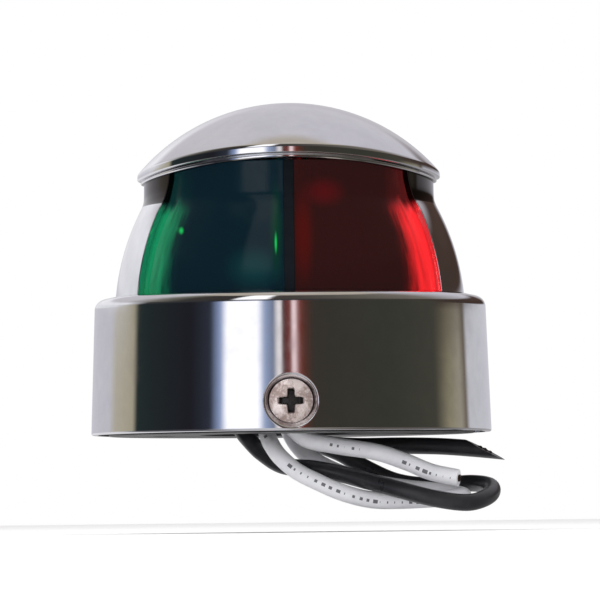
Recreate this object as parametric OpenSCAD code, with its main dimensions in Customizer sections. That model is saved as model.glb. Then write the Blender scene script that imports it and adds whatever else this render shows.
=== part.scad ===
// Two-colour bow navigation light: a polished cover with a domed cap, a green and a red
// window, a drop-over skirt ring held by one front screw, and two loose supply leads.
// +Z is up, -Y is dead ahead, +X is the red side. The origin is the middle of the mounting face.

/* [Skirt ring] */
// Radius of the ring at its lower edge
ring_r = 35; // [34.6:0.1:35.4]
// Radius of the ring's wall just under its shoulder
shoulder_r = 34.2; // [34:0.1:34.4]
// Height of the ring's top face
ring_top = 24.2; // [24:0.1:24.4]
// Thickness of the ring's sheet
ring_t = 1.1; // [1:0.1:1.2]

/* [Cover] */
// Radius of the hood where it leaves the ring
hood_r = 30.5; // [30.3:0.1:30.6]
// Radius of the straight neck under the cap
neck_r = 25.4; // [25.2:0.1:25.5]
// Radius of the cap's brim
brim_r = 26.5; // [26.3:0.1:26.8]
// Height of the top of the cap
apex_z = 58.1; // [57.8:0.1:58.4]
// Thickness of the hood's wall
hood_t = 1.2; // [1.1:0.1:1.3]
// Half angle of the window, counted from dead ahead
window_a = 59; // [57:1:61]

/* [Lenses] */
// Thickness of a lens
lens_t = 2; // [1.8:0.1:2.2]
// Thickness of the opaque divider between the two colours
divider_t = 1.8; // [1.6:0.1:2]

/* [Front screw] */
// Height of the front screw's axis
screw_z = 5.2; // [5.1:0.1:5.3]
// Radius of the front screw's shank
screw_r = 2; // [2]
// Radius of the front screw's head
head_r = 3.7; // [3.6:0.05:3.8]

/* [Base] */
// Half the distance between the two deck screw holes
deck_x = 22; // [21.5:0.5:22]
// Radius of a deck screw hole
deck_hole_r = 2.2; // [2.1:0.05:2.3]

/* [Leads] */
// Outer diameter of each lead's insulation
lead_d = 3; // [3]

/* [Hidden] */
$fn = 96;
gasket_t = 1;
plate_t = 2;
plate_z = gasket_t;
floor_z = plate_z + plate_t;
plate_r = 33.2;
spigot_r = 32.5;
spigot_top = 9;
ring_bottom = 0.2;
shoulder_fillet = 1.9;
lip_r = hood_r + 0.3;
flange_r = 32.6;
flange_top = ring_top - 1.6;
flange_z = flange_top - 0.9;

// the wiring well under the base, and its roof
well_c = [-3, -3.5];
well_r = 13;
well_wall = 1.5;
roof_z = 9;
roof_t = 2;
roof_top = roof_z + roof_t;

// leads: hole places in the roof and the grommet's size
lead_x = [-9.6, -4.4];
lead_y = 2.6;
grommet_r = 2.9;
lead_sides = 8;

// side outline of the hood: an arc about (side_c[0], side_c[1]) that meets the neck
side_c = [-10, 20.5];
side_R = 40.7;
neck_z = side_c[1] + sqrt(pow(side_R, 2) - pow(neck_r - side_c[0], 2));

// the cap: a dome with a tighter curve from side to side than from front to back
dome_side_R = 34.5;
dome_front_R = 43.6;
dome_c = apex_z - dome_front_R;
dome_off = dome_front_R - dome_side_R;
// the brim's underside and the window's top are arched from side to side
arch_side_z = 44;
arch_front_z = 46.9;
arch_rise = arch_front_z - arch_side_z;
arch_R = (pow(brim_r, 2) + pow(arch_rise, 2)) / (2 * arch_rise);

lens_top = 46.6;
lens_z = 22.3;
lens_a = window_a + 6;
retainer_z = 20;
retainer_t = 1.6;
retainer_r = 24.5;
retainer_n = 3;
retainer_screw_r = 31.1;

// front screw, lug and nut
head_y = -34.05;
screw_len = 10;
dimple_r = 4.6;
dimple_y = -34.85;
lug_y = -31.1;
lug_w = 12.4;
lug_top = 9.4;
pocket_y = [-28.6, -23.4];
pocket_w = 7.6;
nut_w = 7;
nut_t = 2.2;

// lamp and its holder
lamp_z = [20, 51];
cap_l = 5.6;
cap_tip = 1.4;
cap_r = 3.5;
glass_h = lamp_z[1] - lamp_z[0] - 2 * cap_l;
glass_r = 5;
glass_t = 0.6;
post_y = 8;
post_t = 2.2;
post_w = 10;
strip_t = 0.6;
strip_w = 7;
rivet_r = 1.2;
lower_rivets = [15.4, 18];
upper_rivets = [26, 45];
tab_z = 13.4;
tab_w = 2.6;
barrel_l = 5;
barrel_r = 2.1;

// the leads' routes, from the terminals to the cut ends
white_route = [
    [-4.4, 2.6, 16.5], [-4.4, 2.6, 13.5], [-4.4, 2.6, 10.5], [-4.4, 2.5, 7.5], [-4.4, 1.2, 4],
    [-4.4, -2.2, 1.2], [-4.1, -6.6, -0.3], [-3.5, -10.4, -1.8], [-2, -13.2, -4], [0.7, -14.7, -6.4],
    [4.4, -15.6, -8.4], [9, -15.6, -10.4], [14, -13.8, -11.6], [19.5, -12.6, -11.7],
    [24.6, -11.4, -11.5], [28.4, -9, -11.3], [29.6, -5.2, -10.9], [26, -2.6, -10.2], [19, -3, -9.4],
    [12, -4, -8], [6.4, -3.5, -5.9], [2, -1.8, -3], [-0.3, -0.9, 0.4], [-1, -3.2, 3.4],
    [-0.9, -7, 4.1], [-0.2, -10.2, 1.9], [2.4, -11.8, -0.9], [7.4, -12, -2.1], [14.5, -12.4, -3.3],
    [19.5, -12.8, -5], [24, -13.4, -6.9], [28.8, -14.8, -8]
];
black_route = [
    [-9.6, 2.6, 16.5], [-9.6, 2.6, 13.5], [-9.6, 2.6, 10.5], [-9.6, 2.5, 7.5], [-9.5, 1, 4],
    [-8.7, -2.4, 1], [-7.2, -4.8, -1.1], [-4.9, -6.1, -3.4], [-1.4, -8.4, -5.5], [4, -11.2, -6.1],
    [9, -12.8, -7.2], [14, -14.9, -8.6], [19.5, -17.2, -10.2], [25, -18.2, -11.6], [30.4, -16.8, -12.2],
    [34, -12.4, -11], [34.4, -6.4, -9.4], [31, -0.6, -8.8], [25, 1.8, -9.2], [18.5, 1.4, -8.4],
    [13, 0, -6], [8.8, -0.6, -3.5], [5.4, 1, -2], [4.8, 4.6, -1.7], [7.6, 7.2, -1.8],
    [12.4, 8, -2], [19, 7.2, -2], [26, 5.8, -2.2], [32, 4.2, -2.7], [37.5, 2.4, -3.3]
];

// points on an arc about c, from angle a0 to angle a1 in n steps
function arc(c, r, a0, a1, n) = [
    for (i = [0:n]) let (a = a0 + (a1 - a0) * i / n) [c[0] + r * cos(a), c[1] + r * sin(a)]
];
// radius of the hood's side at height z, moved inward by t
function side_x(z, t = 0) = side_c[0] + sqrt(pow(side_R - t, 2) - pow(z - side_c[1], 2));
// angle on the hood's side arc at height z, moved inward by t
function side_a(z, t = 0) = asin((z - side_c[1]) / (side_R - t));

// solid outline of the hood from height z0 to z1, moved inward by t
module side_outline(z0, z1, t) {
    polygon(concat(
        [[0, z0]],
        arc(side_c, side_R - t, side_a(z0, t), side_a(neck_z, t), 10),
        [[neck_r - t, neck_z + 0.6], [neck_r - t, z1], [0, z1]]
    ));
}

// the doubly curved dome, moved inward by t: an arc turned about a lower cross axis
module dome(t) {
    translate([0, 0, dome_c]) rotate([0, 90, 0]) rotate_extrude($fn = 144)
        intersection() {
            translate([dome_off, 0]) circle(r = dome_side_R - t);
            translate([0, -40]) square([80, 80]);
        }
}

// everything above the arch that the brim's underside follows
module above_arch() {
    difference() {
        translate([-40, -40, arch_side_z - 5]) cube([80, 80, 40]);
        translate([0, 0, arch_front_z - arch_R]) rotate([90, 0, 0])
            cylinder(r = arch_R, h = 90, center = true, $fn = 240);
    }
}

// everything below that arch
module below_arch(z0) {
    intersection() {
        translate([-40, -40, z0]) cube([80, 80, arch_front_z - z0]);
        translate([0, 0, arch_front_z - arch_R]) rotate([90, 0, 0])
            cylinder(r = arch_R, h = 90, center = true, $fn = 240);
    }
}

// upright wedge between two angles counted from dead ahead, positive towards +X
module wedge(a0, a1, z0, z1, r = 60) {
    translate([0, 0, z0]) linear_extrude(z1 - z0)
        polygon(concat([[0, 0]], [for (i = [0:4]) let (a = a0 + (a1 - a0) * i / 4)
            [r * sin(a), -r * cos(a)]]));
}

// cylinder along +Y from y0 to y1
module along_y(r0, r1, y0, y1, x = 0, z = screw_z) {
    translate([x, y0, z]) rotate([-90, 0, 0]) cylinder(r1 = r0, r2 = r1, h = y1 - y0);
}

module hood() {
    color("gainsboro") difference() {
        union() {
            intersection() {
                rotate_extrude() side_outline(flange_z, apex_z, 0);
                dome(0);
            }
            intersection() {
                translate([0, 0, arch_side_z - 1]) cylinder(r = brim_r, h = 20);
                dome(0);
                above_arch();
            }
            translate([0, 0, flange_z]) cylinder(r = flange_r, h = flange_top - flange_z);
        }
        intersection() {
            rotate_extrude() side_outline(flange_z - 1, apex_z, hood_t);
            dome(hood_t);
        }
        intersection() {
            wedge(-window_a, window_a, ring_top - 0.9, arch_front_z + 1);
            below_arch(ring_top - 1);
        }
        for (i = [0:retainer_n - 1]) rotate(90 + 120 * i)
            translate([retainer_screw_r, 0, flange_z - 1]) cylinder(r = 0.85, h = 2, $fn = 24);
    }
}

// outline of the ring's sheet, moved inward by t
module ring_outline(t) {
    polygon(concat(
        [[0, ring_bottom - t], [ring_r, ring_bottom - t], [ring_r - t, ring_bottom]],
        arc([shoulder_r - shoulder_fillet, ring_top - 0.3 - shoulder_fillet],
            shoulder_fillet - t, 0, 84, 6),
        [[lip_r, ring_top - t], [0, ring_top - t]]
    ));
}

module skirt_ring() {
    color("lightgray") difference() {
        union() {
            difference() {
                rotate_extrude($fn = 144) ring_outline(0);
                rotate_extrude($fn = 144) ring_outline(ring_t);
                cylinder(r = lip_r, h = 40);
            }
            intersection() {
                along_y(dimple_r + 3.6, 2.9, dimple_y - 2, -31.5);
                rotate_extrude($fn = 144) ring_outline(0);
                translate([-10, -40, ring_bottom]) cube([20, 9, 20]);
            }
        }
        along_y(dimple_r + 2, 2.25, dimple_y - 2, dimple_y - 2 + dimple_r - 0.25);
        along_y(2.25, 2.25, -34, -30);
    }
}

module retaining_screw() {
    color("silver") difference() {
        union() {
            along_y(head_r, screw_r, head_y, head_y + head_r - screw_r);
            along_y(screw_r, screw_r, head_y + head_r - screw_r, head_y + screw_len);
            intersection() {
                translate([0, head_y + 8.8, screw_z]) sphere(r = 9.55);
                along_y(head_r, head_r, head_y - 1, head_y);
            }
        }
        for (a = [0, 90]) translate([0, head_y, screw_z]) rotate([0, a, 0])
            cube([4.6, 3.4, 0.95], center = true);
    }
}

module clamp_nut() {
    color("silver") difference() {
        translate([-nut_w / 2, pocket_y[0] + 0.1, screw_z - nut_w / 2]) cube([nut_w, nut_t, nut_w]);
        along_y(screw_r + 0.05, screw_r + 0.05, pocket_y[0] - 1, pocket_y[1]);
    }
}

// one lens: the sector between two angles of a shell inside the hood's wall
module lens(a0, a1) {
    difference() {
        intersection() {
            rotate_extrude() side_outline(lens_z, lens_top, hood_t + 0.05);
            wedge(a0, a1, lens_z - 1, lens_top + 1);
            dome(hood_t + 0.1);
        }
        rotate_extrude() side_outline(lens_z - 1, lens_top + 1, hood_t + lens_t);
        translate([-divider_t / 2, -40, 0]) cube([divider_t, 40, 60]);
    }
}
module green_lens() { color("green") lens(-lens_a, 0); }
module red_lens() { color("crimson") lens(0, lens_a); }

module lens_divider() {
    color("dimgray") intersection() {
        rotate_extrude() side_outline(lens_z, lens_top, hood_t + 0.05);
        dome(hood_t + 0.1);
        translate([-divider_t / 2, -40, lens_z]) cube([divider_t, 33, 40]);
    }
}

module lens_seal() {
    color("black") translate([0, 0, retainer_z + retainer_t]) difference() {
        cylinder(r = side_x(lens_z, hood_t) - 0.1, h = lens_z - retainer_z - retainer_t);
        translate([0, 0, -1]) cylinder(r = side_x(lens_z, hood_t) - 3.2, h = 4);
    }
}

module lens_retainer() {
    color("darkgray") translate([0, 0, retainer_z]) difference() {
        cylinder(r = flange_r, h = retainer_t);
        translate([0, 0, -1]) cylinder(r = retainer_r, h = 4);
        for (i = [0:retainer_n - 1]) rotate(90 + 120 * i)
            translate([retainer_screw_r, 0, -1]) cylinder(r = 0.85, h = 4, $fn = 24);
    }
}

module retainer_screws() {
    color("silver") for (i = [0:retainer_n - 1]) rotate(90 + 120 * i)
        translate([retainer_screw_r, 0, 0]) difference() {
            union() {
                translate([0, 0, retainer_z - 1]) cylinder(r = 1.4, h = 1, $fn = 32);
                translate([0, 0, retainer_z]) cylinder(r = 0.8, h = 2.5, $fn = 24);
            }
            translate([0, 0, retainer_z - 1]) cube([1.9, 0.4, 0.8], center = true);
        }
}

module base_plate() {
    color("#202224") difference() {
        union() {
            translate([0, 0, plate_z]) cylinder(r = plate_r, h = plate_t);
            difference() {
                translate([0, 0, plate_z]) cylinder(r = spigot_r, h = spigot_top - plate_z);
                translate([0, 0, floor_z]) cylinder(r = spigot_r - 1.5, h = 20);
            }
            translate([well_c[0], well_c[1], plate_z]) cylinder(r = well_r + well_wall, h = roof_top - plate_z);
            for (s = [-1, 1]) translate([s * deck_x, 0, plate_z]) cylinder(r = 4.6, h = 5, $fn = 48);
            translate([-lug_w / 2, lug_y, plate_z]) cube([lug_w, 10, lug_top - plate_z]);
            translate([-post_w / 2 - 1.5, post_y - 2, roof_top - 2]) cube([post_w + 3, post_t + 4, 4]);
        }
        translate([well_c[0], well_c[1], plate_z - 1]) cylinder(r = well_r, h = roof_z - plate_z + 1);
        // front flat, wider than the ring's dimple
        translate([-6.2, -40, 0]) cube([12.4, 40 + lug_y, 20]);
        // open-topped slot for the screw and pocket for the square nut
        along_y(screw_r + 0.4, screw_r + 0.4, lug_y - 1, pocket_y[0] + 1);
        translate([-screw_r - 0.4, lug_y - 1, screw_z]) cube([2 * screw_r + 0.8, 4, 20]);
        translate([-pocket_w / 2, pocket_y[0], screw_z - nut_w / 2 - 0.2])
            cube([pocket_w, pocket_y[1] - pocket_y[0], 20]);
        // deck screw holes with countersinks
        for (s = [-1, 1]) translate([s * deck_x, 0, 0]) {
            cylinder(r = deck_hole_r, h = 20);
            translate([0, 0, plate_z + 5 - 1.9]) cylinder(r1 = deck_hole_r, r2 = deck_hole_r + 2, h = 2);
        }
        // socket for the lamp post and hole for the grommet
        translate([-post_w / 2, post_y, roof_top - 1]) cube([post_w, post_t, 20]);
        grommet_shape(grommet_r, roof_z - 1, roof_top + 1);
    }
}

// straight-sided oval about the two leads
module grommet_shape(r, z0, z1) {
    for (x = lead_x) translate([x, lead_y, z0]) cylinder(r = r, h = z1 - z0, $fn = 48);
    translate([lead_x[0], lead_y - r, z0]) cube([lead_x[1] - lead_x[0], 2 * r, z1 - z0]);
}

module wire_grommet() {
    color("#151515") difference() {
        union() {
            grommet_shape(grommet_r - 0.02, roof_z - 0.7, roof_top + 0.6);
            grommet_shape(grommet_r + 0.6, roof_z - 0.7, roof_z - 0.02);
        }
        for (x = lead_x) translate([x, lead_y, roof_z - 2])
            cylinder(r = lead_d / 2 + 0.35, h = 8, $fn = 48);
    }
}

module base_gasket() {
    color("#101010") difference() {
        cylinder(r = 32, h = gasket_t);
        translate([well_c[0], well_c[1], -1]) cylinder(r = well_r, h = 4);
        for (s = [-1, 1]) translate([s * deck_x, 0, -1]) cylinder(r = deck_hole_r, h = 4);
        translate([-6.2, -40, -1]) cube([12.4, 40 + lug_y, 4]);
    }
}

module lamp_post() {
    color("#a8752f") difference() {
        translate([-post_w / 2 + 0.05, post_y + 0.05, roof_top - 1])
            cube([post_w - 0.1, post_t - 0.1, lamp_z[1] - strip_t - roof_top + 0.95]);
        for (z = concat(lower_rivets, upper_rivets)) along_y(rivet_r, rivet_r, 0, 20, 0, z);
    }
}

// contact arm over the lamp's axis up to y1, with a hole that holds the lamp cap's tip
module arm(z0, y1) {
    difference() {
        translate([-strip_w / 2, -4.5, z0]) cube([strip_w, y1 + 4.5, strip_t]);
        translate([0, 0, z0 - 1]) cylinder(r = 1.3, h = 3, $fn = 32);
    }
}

// flat tab that runs forward from a contact strip to a lead's crimp barrel
module tab(x, y1) {
    translate([x - tab_w / 2, lead_y, tab_z]) cube([tab_w, y1 - lead_y, strip_t]);
}

module lower_contact() {
    color("goldenrod") difference() {
        union() {
            arm(lamp_z[0], post_y);
            translate([-strip_w / 2, post_y - strip_t, tab_z])
                cube([strip_w, strip_t, lamp_z[0] - tab_z + strip_t]);
            translate([lead_x[1] - tab_w / 2, post_y - strip_t, tab_z])
                cube([-lead_x[1] + tab_w / 2, strip_t, 3]);
            tab(lead_x[1], post_y);
        }
        for (z = lower_rivets) along_y(rivet_r, rivet_r, 0, 20, 0, z);
        lead_holes();
    }
}

module upper_contact() {
    color("goldenrod") difference() {
        union() {
            arm(lamp_z[1] - strip_t, post_y + post_t + strip_t);
            translate([-strip_w / 2, post_y + post_t, tab_z])
                cube([strip_w, strip_t, lamp_z[1] - tab_z]);
            translate([lead_x[0] - tab_w / 2, post_y + post_t, tab_z])
                cube([-lead_x[0] + tab_w / 2, strip_t, 3]);
            tab(lead_x[0], post_y + post_t + strip_t);
        }
        for (z = concat(lower_rivets, upper_rivets)) along_y(rivet_r, rivet_r, 0, 20, 0, z);
        lead_holes();
    }
}

// the crimp barrels stand in these holes through the tabs
module lead_holes() {
    for (x = lead_x) translate([x, lead_y, tab_z - 1]) cylinder(r = barrel_r - 0.5, h = 3, $fn = 48);
}

module contact_rivets() {
    color("silver") {
        for (z = lower_rivets) {
            along_y(rivet_r - 0.02, rivet_r - 0.02, post_y - strip_t, post_y + post_t + strip_t, 0, z);
            along_y(1, 2, post_y - strip_t - 0.8, post_y - strip_t, 0, z);
        }
        for (z = upper_rivets) {
            along_y(rivet_r - 0.02, rivet_r - 0.02, post_y, post_y + post_t + strip_t, 0, z);
            along_y(2, 1, post_y + post_t + strip_t, post_y + post_t + strip_t + 0.8, 0, z);
        }
    }
}

module wire_terminals() {
    color("tan") for (x = lead_x) difference() {
        translate([x, lead_y, tab_z + strip_t]) cylinder(r = barrel_r, h = barrel_l, $fn = 48);
        translate([x, lead_y, tab_z]) cylinder(r = lead_d / 2 + 0.05, h = barrel_l + 3, $fn = 48);
    }
}

// outline of the lamp's glass from end to end, moved inward by t
function glass_side(h, t) = [
    for (i = [0:12]) let (z = h * i / 12 - h / 2)
        [cap_r - 0.3 + (glass_r - cap_r + 0.3) * sqrt(max(0, cos(z / h * 180))) - t, z]
];

// open-ended glass tube, closed by the lamp's caps
module lamp_glass() {
    outside = glass_side(glass_h, 0);
    inside = glass_side(glass_h, glass_t);
    color("aliceblue", 0.4) translate([0, 0, (lamp_z[0] + lamp_z[1]) / 2]) rotate_extrude($fn = 64)
        polygon(concat(outside, [for (i = [12:-1:0]) inside[i]]));
}

module lamp_caps() {
    color("silver") translate([0, 0, (lamp_z[0] + lamp_z[1]) / 2]) for (s = [0, 180]) rotate([s, 0, 0])
        translate([0, 0, (lamp_z[1] - lamp_z[0]) / 2 - cap_l]) union() {
            cylinder(r = cap_r, h = cap_l - cap_tip - strip_t, $fn = 64);
            translate([0, 0, cap_l - cap_tip - strip_t]) cylinder(r1 = cap_r, r2 = 1.1, h = cap_tip, $fn = 64);
        }
}

module lamp_filament() {
    color("gold") translate([0, 0, lamp_z[0] + cap_l]) cylinder(r = 0.35, h = glass_h, $fn = 16);
}

// unit vector of v
function unit(v) = v / norm(v);
// direction of the path at point i
function along(p, i) = unit(p[min(i + 1, len(p) - 1)] - p[max(i - 1, 0)]);
// side direction carried from ring to ring, so that the tube doesn't twist
function sides(p, i = 1, last = [[0, 1, 0]]) = i >= len(p) ? last :
    let (d = along(p, i), v = last[i - 1] - (last[i - 1] * d) * d) sides(p, i + 1, concat(last, [unit(v)]));

// round tube of diameter d along the points of p
module tube(p, d) {
    n = lead_sides;
    s = sides(p);
    rings = [for (i = [0:len(p) - 1]) let (t = along(p, i), u = unit(s[i] - (s[i] * t) * t), v = cross(t, u))
        for (k = [0:n - 1]) let (a = 360 * k / n) p[i] + d / 2 * (cos(a) * u + sin(a) * v)];
    last = (len(p) - 1) * n;
    faces = concat(
        [[for (k = [0:n - 1]) k]],
        [for (i = [0:len(p) - 2]) for (k = [0:n - 1]) let (j = (k + 1) % n)
            each [[i * n + k, (i + 1) * n + k, i * n + j], [i * n + j, (i + 1) * n + k, (i + 1) * n + j]]],
        [[for (k = [0:n - 1]) last + n - 1 - k]]
    );
    polyhedron(points = rings, faces = faces, convexity = 10);
}

// short bare strands that show at a lead's cut end
module core(p) {
    n = len(p);
    tube([p[n - 1], p[n - 1] + 0.7 * along(p, n - 1)], 1.3);
}

module white_lead() { color("white") tube(white_route, lead_d); }
module black_lead() { color("#181818") tube(black_route, lead_d); }
module white_lead_core() { color("peru") core(white_route); }
module black_lead_core() { color("peru") core(black_route); }

base_plate();
base_gasket();
wire_grommet();
lamp_post();
lower_contact();
upper_contact();
contact_rivets();
wire_terminals();
lamp_glass();
lamp_caps();
lamp_filament();
white_lead();
black_lead();
white_lead_core();
black_lead_core();
hood();
skirt_ring();
green_lens();
red_lens();
lens_divider();
lens_seal();
lens_retainer();
retainer_screws();
retaining_screw();
clamp_nut();
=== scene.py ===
"""Finished looks of a two-colour bow navigation light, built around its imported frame.

Lengths are in millimetres in the size fields and become metres when a mesh is made.
-Y is dead ahead, +X is the red side and +Z is up. Angles round the light are counted from
dead ahead, positive towards +X.
"""

import logging
import math
from dataclasses import dataclass
from enum import Enum

import bmesh
import bpy
import numpy as np
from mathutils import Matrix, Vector


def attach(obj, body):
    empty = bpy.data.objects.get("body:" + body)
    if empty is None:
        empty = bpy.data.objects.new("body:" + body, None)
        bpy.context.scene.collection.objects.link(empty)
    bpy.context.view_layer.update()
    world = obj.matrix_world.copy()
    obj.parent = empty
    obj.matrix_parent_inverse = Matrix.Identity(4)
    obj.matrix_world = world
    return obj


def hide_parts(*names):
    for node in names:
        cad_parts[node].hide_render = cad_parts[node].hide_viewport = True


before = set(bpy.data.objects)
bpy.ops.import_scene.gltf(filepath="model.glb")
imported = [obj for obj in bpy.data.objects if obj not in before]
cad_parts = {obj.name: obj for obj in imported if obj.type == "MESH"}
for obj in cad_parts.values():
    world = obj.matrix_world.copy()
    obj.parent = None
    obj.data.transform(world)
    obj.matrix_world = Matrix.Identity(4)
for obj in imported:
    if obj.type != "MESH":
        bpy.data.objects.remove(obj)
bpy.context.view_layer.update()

LOG = logging.getLogger("navigation_light")
MM = 0.001
TAU = 2.0 * math.pi
MERGE_M = 2e-6
UV_MERGE_M = 1e-7
FLAT_DEG = 0.5
TUBE_SHARP_DEG = 50.0
Colour = tuple[float, float, float]
Band = tuple[tuple[float, Colour], ...]


class Body(Enum):
    """The rigid bodies that pieces ride on."""

    BASE = "base"
    COVER = "cover"
    SCREW = "front_screw"
    NUT = "nut"


class Side(Enum):
    """The two lens halves, with the sign of their X."""

    GREEN = -1
    RED = 1


# ---------------------------------------------------------------------------- mesh making


def turned(radius: np.ndarray, height: np.ndarray, angle: np.ndarray) -> np.ndarray:
    """Points of a surface turned about the light's axis.

    Each point is (r sin a, -r cos a, z), with the three inputs broadcast together.

    Args:
        radius: distance from the axis, in mm.
        height: height above the mounting face, in mm.
        angle: angle from dead ahead, in radians.

    Returns:
        Array whose last axis is x, y, z.
    """
    r, z, a = np.broadcast_arrays(radius, height, angle)
    return np.stack([r * np.sin(a), -r * np.cos(a), z], axis=-1)


def grid_faces(rows: int, cols: int, wrap_rows: bool = False, wrap_cols: bool = False) -> np.ndarray:
    """Corner numbers of the quads of a grid.

    Args:
        rows: number of rows of points.
        cols: number of points in a row.
        wrap_rows: whether the last row joins the first.
        wrap_cols: whether the last point of a row joins its first.

    Returns:
        Array of shape (quads, 4).
    """
    i, j = np.meshgrid(np.arange(rows - (not wrap_rows)), np.arange(cols - (not wrap_cols)), indexing="ij")
    i, j = i.ravel(), j.ravel()
    up, on = (i + 1) % rows, (j + 1) % cols
    return np.stack([i * cols + j, i * cols + on, up * cols + on, up * cols + j], axis=1)


def smooth_step(low: float, high: float, value: np.ndarray) -> np.ndarray:
    """Value's place between low and high, eased at both ends: t squared times (3 - 2 t)."""
    t = np.clip((value - low) / (high - low), 0.0, 1.0)
    return t * t * (3.0 - 2.0 * t)


def mesh_piece(name: str, points: np.ndarray, faces: np.ndarray,
               sharp_deg: float = 35.0) -> bpy.types.Object:
    """Makes a mesh object from points in millimetres.

    Doubled points are merged, so seams and poles close, and normals are turned outwards.

    Args:
        name: the object's name.
        points: array of shape (n, 3), in mm.
        faces: array of shape (m, 4) of corner numbers.
        sharp_deg: edges sharper than this angle are shaded sharp.

    Returns:
        The new object, at the origin.
    """
    mesh = bpy.data.meshes.new(name)
    mesh.from_pydata((points * MM).tolist(), [], faces.tolist())
    closed(mesh, MERGE_M)
    return shaded(name, mesh, sharp_deg)


def closed(mesh: bpy.types.Mesh, merge: float) -> None:
    """Merges points nearer than a distance in metres, then turns the normals outwards."""
    shape = bmesh.new()
    shape.from_mesh(mesh)
    bmesh.ops.remove_doubles(shape, verts=shape.verts, dist=merge)
    bmesh.ops.recalc_face_normals(shape, faces=shape.faces)
    shape.to_mesh(mesh)
    shape.free()


def shaded(name: str, mesh: bpy.types.Mesh, sharp_deg: float) -> bpy.types.Object:
    """Puts a mesh in the scene with smooth shading that breaks at sharp edges.

    Args:
        name: the object's name.
        mesh: the mesh.
        sharp_deg: edges sharper than this angle are shaded sharp.

    Returns:
        The new object, at the origin.
    """
    mesh.polygons.foreach_set("use_smooth", np.ones(len(mesh.polygons), dtype=bool))
    mesh.set_sharp_from_angle(angle=math.radians(sharp_deg))
    piece = bpy.data.objects.new(name, mesh)
    bpy.context.scene.collection.objects.link(piece)
    return piece


def shell_piece(name: str, outer: np.ndarray, inner: np.ndarray, wrap: bool = False,
                sharp_deg: float = 35.0) -> bpy.types.Object:
    """Makes a closed wall between two grids of the same size.

    The two grids are joined by strips of quads along their open borders.

    Args:
        name: the object's name.
        outer: outer surface, shape (rows, cols, 3), in mm.
        inner: inner surface, of the same shape.
        wrap: whether each row closes on itself.
        sharp_deg: edges sharper than this angle are shaded sharp.

    Returns:
        The new object.
    """
    points, faces = shell_mesh(outer, inner, wrap)
    return mesh_piece(name, points, faces, sharp_deg)


def shell_mesh(outer: np.ndarray, inner: np.ndarray, wrap: bool) -> tuple[np.ndarray, np.ndarray]:
    """Points and quads of a closed wall between two grids, as shell_piece uses them.

    Args:
        outer: outer surface, shape (rows, cols, 3).
        inner: inner surface, of the same shape.
        wrap: whether each row closes on itself.

    Returns:
        Points of shape (n, 3) and quads of shape (m, 4).
    """
    rows, cols = outer.shape[:2]
    skin = grid_faces(rows, cols, wrap_cols=wrap)
    under = skin[:, ::-1] + rows * cols
    number = np.arange(rows * cols).reshape(rows, cols)
    rims = [number[0], number[-1]] if wrap else [
        np.concatenate([number[0], number[1:, -1], number[-1, -2::-1], number[-2:0:-1, 0]])
    ]
    strips = [
        np.stack([r, np.roll(r, -1), np.roll(r, -1) + rows * cols, r + rows * cols], axis=1) for r in rims
    ]
    points = np.concatenate([outer.reshape(-1, 3), inner.reshape(-1, 3)])
    return points, np.concatenate([skin, under, *strips])


def joined(parts: list[tuple[np.ndarray, np.ndarray]]) -> tuple[np.ndarray, np.ndarray]:
    """Several (points, quads) pairs as one pair."""
    starts = np.cumsum([0] + [len(points) for points, _ in parts[:-1]])
    quads = [faces + start for (_, faces), start in zip(parts, starts)]
    return np.concatenate([points for points, _ in parts]), np.concatenate(quads)


def turned_loop(profile: np.ndarray, cols: int) -> tuple[np.ndarray, np.ndarray]:
    """Ring made by carrying a closed outline round the light's axis.

    Args:
        profile: closed outline as (radius, height) pairs.
        cols: number of steps round the axis.

    Returns:
        Points and quads.
    """
    angle = np.arange(cols) * TAU / cols
    points = turned(profile[:, :1], profile[:, 1:], angle[None, :])
    return points.reshape(-1, 3), grid_faces(len(profile), cols, wrap_rows=True, wrap_cols=True)


def smooth_path(route: list[tuple[float, float, float]], steps: int) -> np.ndarray:
    """Points along a Catmull-Rom curve through a route.

    Each span is the cubic whose ends are two route points and whose slopes there are half
    the way between the points on either side.

    Args:
        route: the points that the curve passes through.
        steps: number of points in each span.

    Returns:
        Array of shape (n, 3), ending on the last route point.
    """
    p = np.array(route, float)
    p = np.vstack([2 * p[0] - p[1], p, 2 * p[-1] - p[-2]])
    a, b, c, d = (p[k:len(p) - 3 + k, None, :] for k in range(4))
    t = (np.arange(steps) / steps)[None, :, None]
    spans = 0.5 * (2 * b + (c - a) * t + (2 * a - 5 * b + 4 * c - d) * t**2 + (3 * b - a - 3 * c + d) * t**3)
    return np.vstack([spans.reshape(-1, 3), p[-2:-1]])


def path_frames(path: np.ndarray) -> tuple[np.ndarray, np.ndarray]:
    """Two directions across a path at each of its points, carried along without twist.

    Args:
        path: points of shape (n, 3).

    Returns:
        Two arrays of unit vectors, square to the path and to each other.
    """
    along = np.gradient(path, axis=0)
    along /= np.linalg.norm(along, axis=1, keepdims=True)
    across = np.empty_like(path)
    last = np.cross(along[0], (0.3, 0.2, 0.9) if abs(along[0, 2]) < 0.8 else (1.0, 0.1, 0.0))
    for k, t in enumerate(along):
        last = last - np.dot(last, t) * t
        last = last / np.linalg.norm(last)
        across[k] = last
    return across, np.cross(along, across)


def run_along(path: np.ndarray) -> np.ndarray:
    """Length along a path at each of its points."""
    return np.concatenate([[0.0], np.cumsum(np.linalg.norm(np.diff(path, axis=0), axis=1))])


def looked_up(place: np.ndarray, run: np.ndarray, values: np.ndarray) -> np.ndarray:
    """Vectors at given lengths along a path, by straight interpolation of each coordinate."""
    return np.stack([np.interp(place, run, values[:, k]) for k in range(3)], axis=-1)


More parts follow.
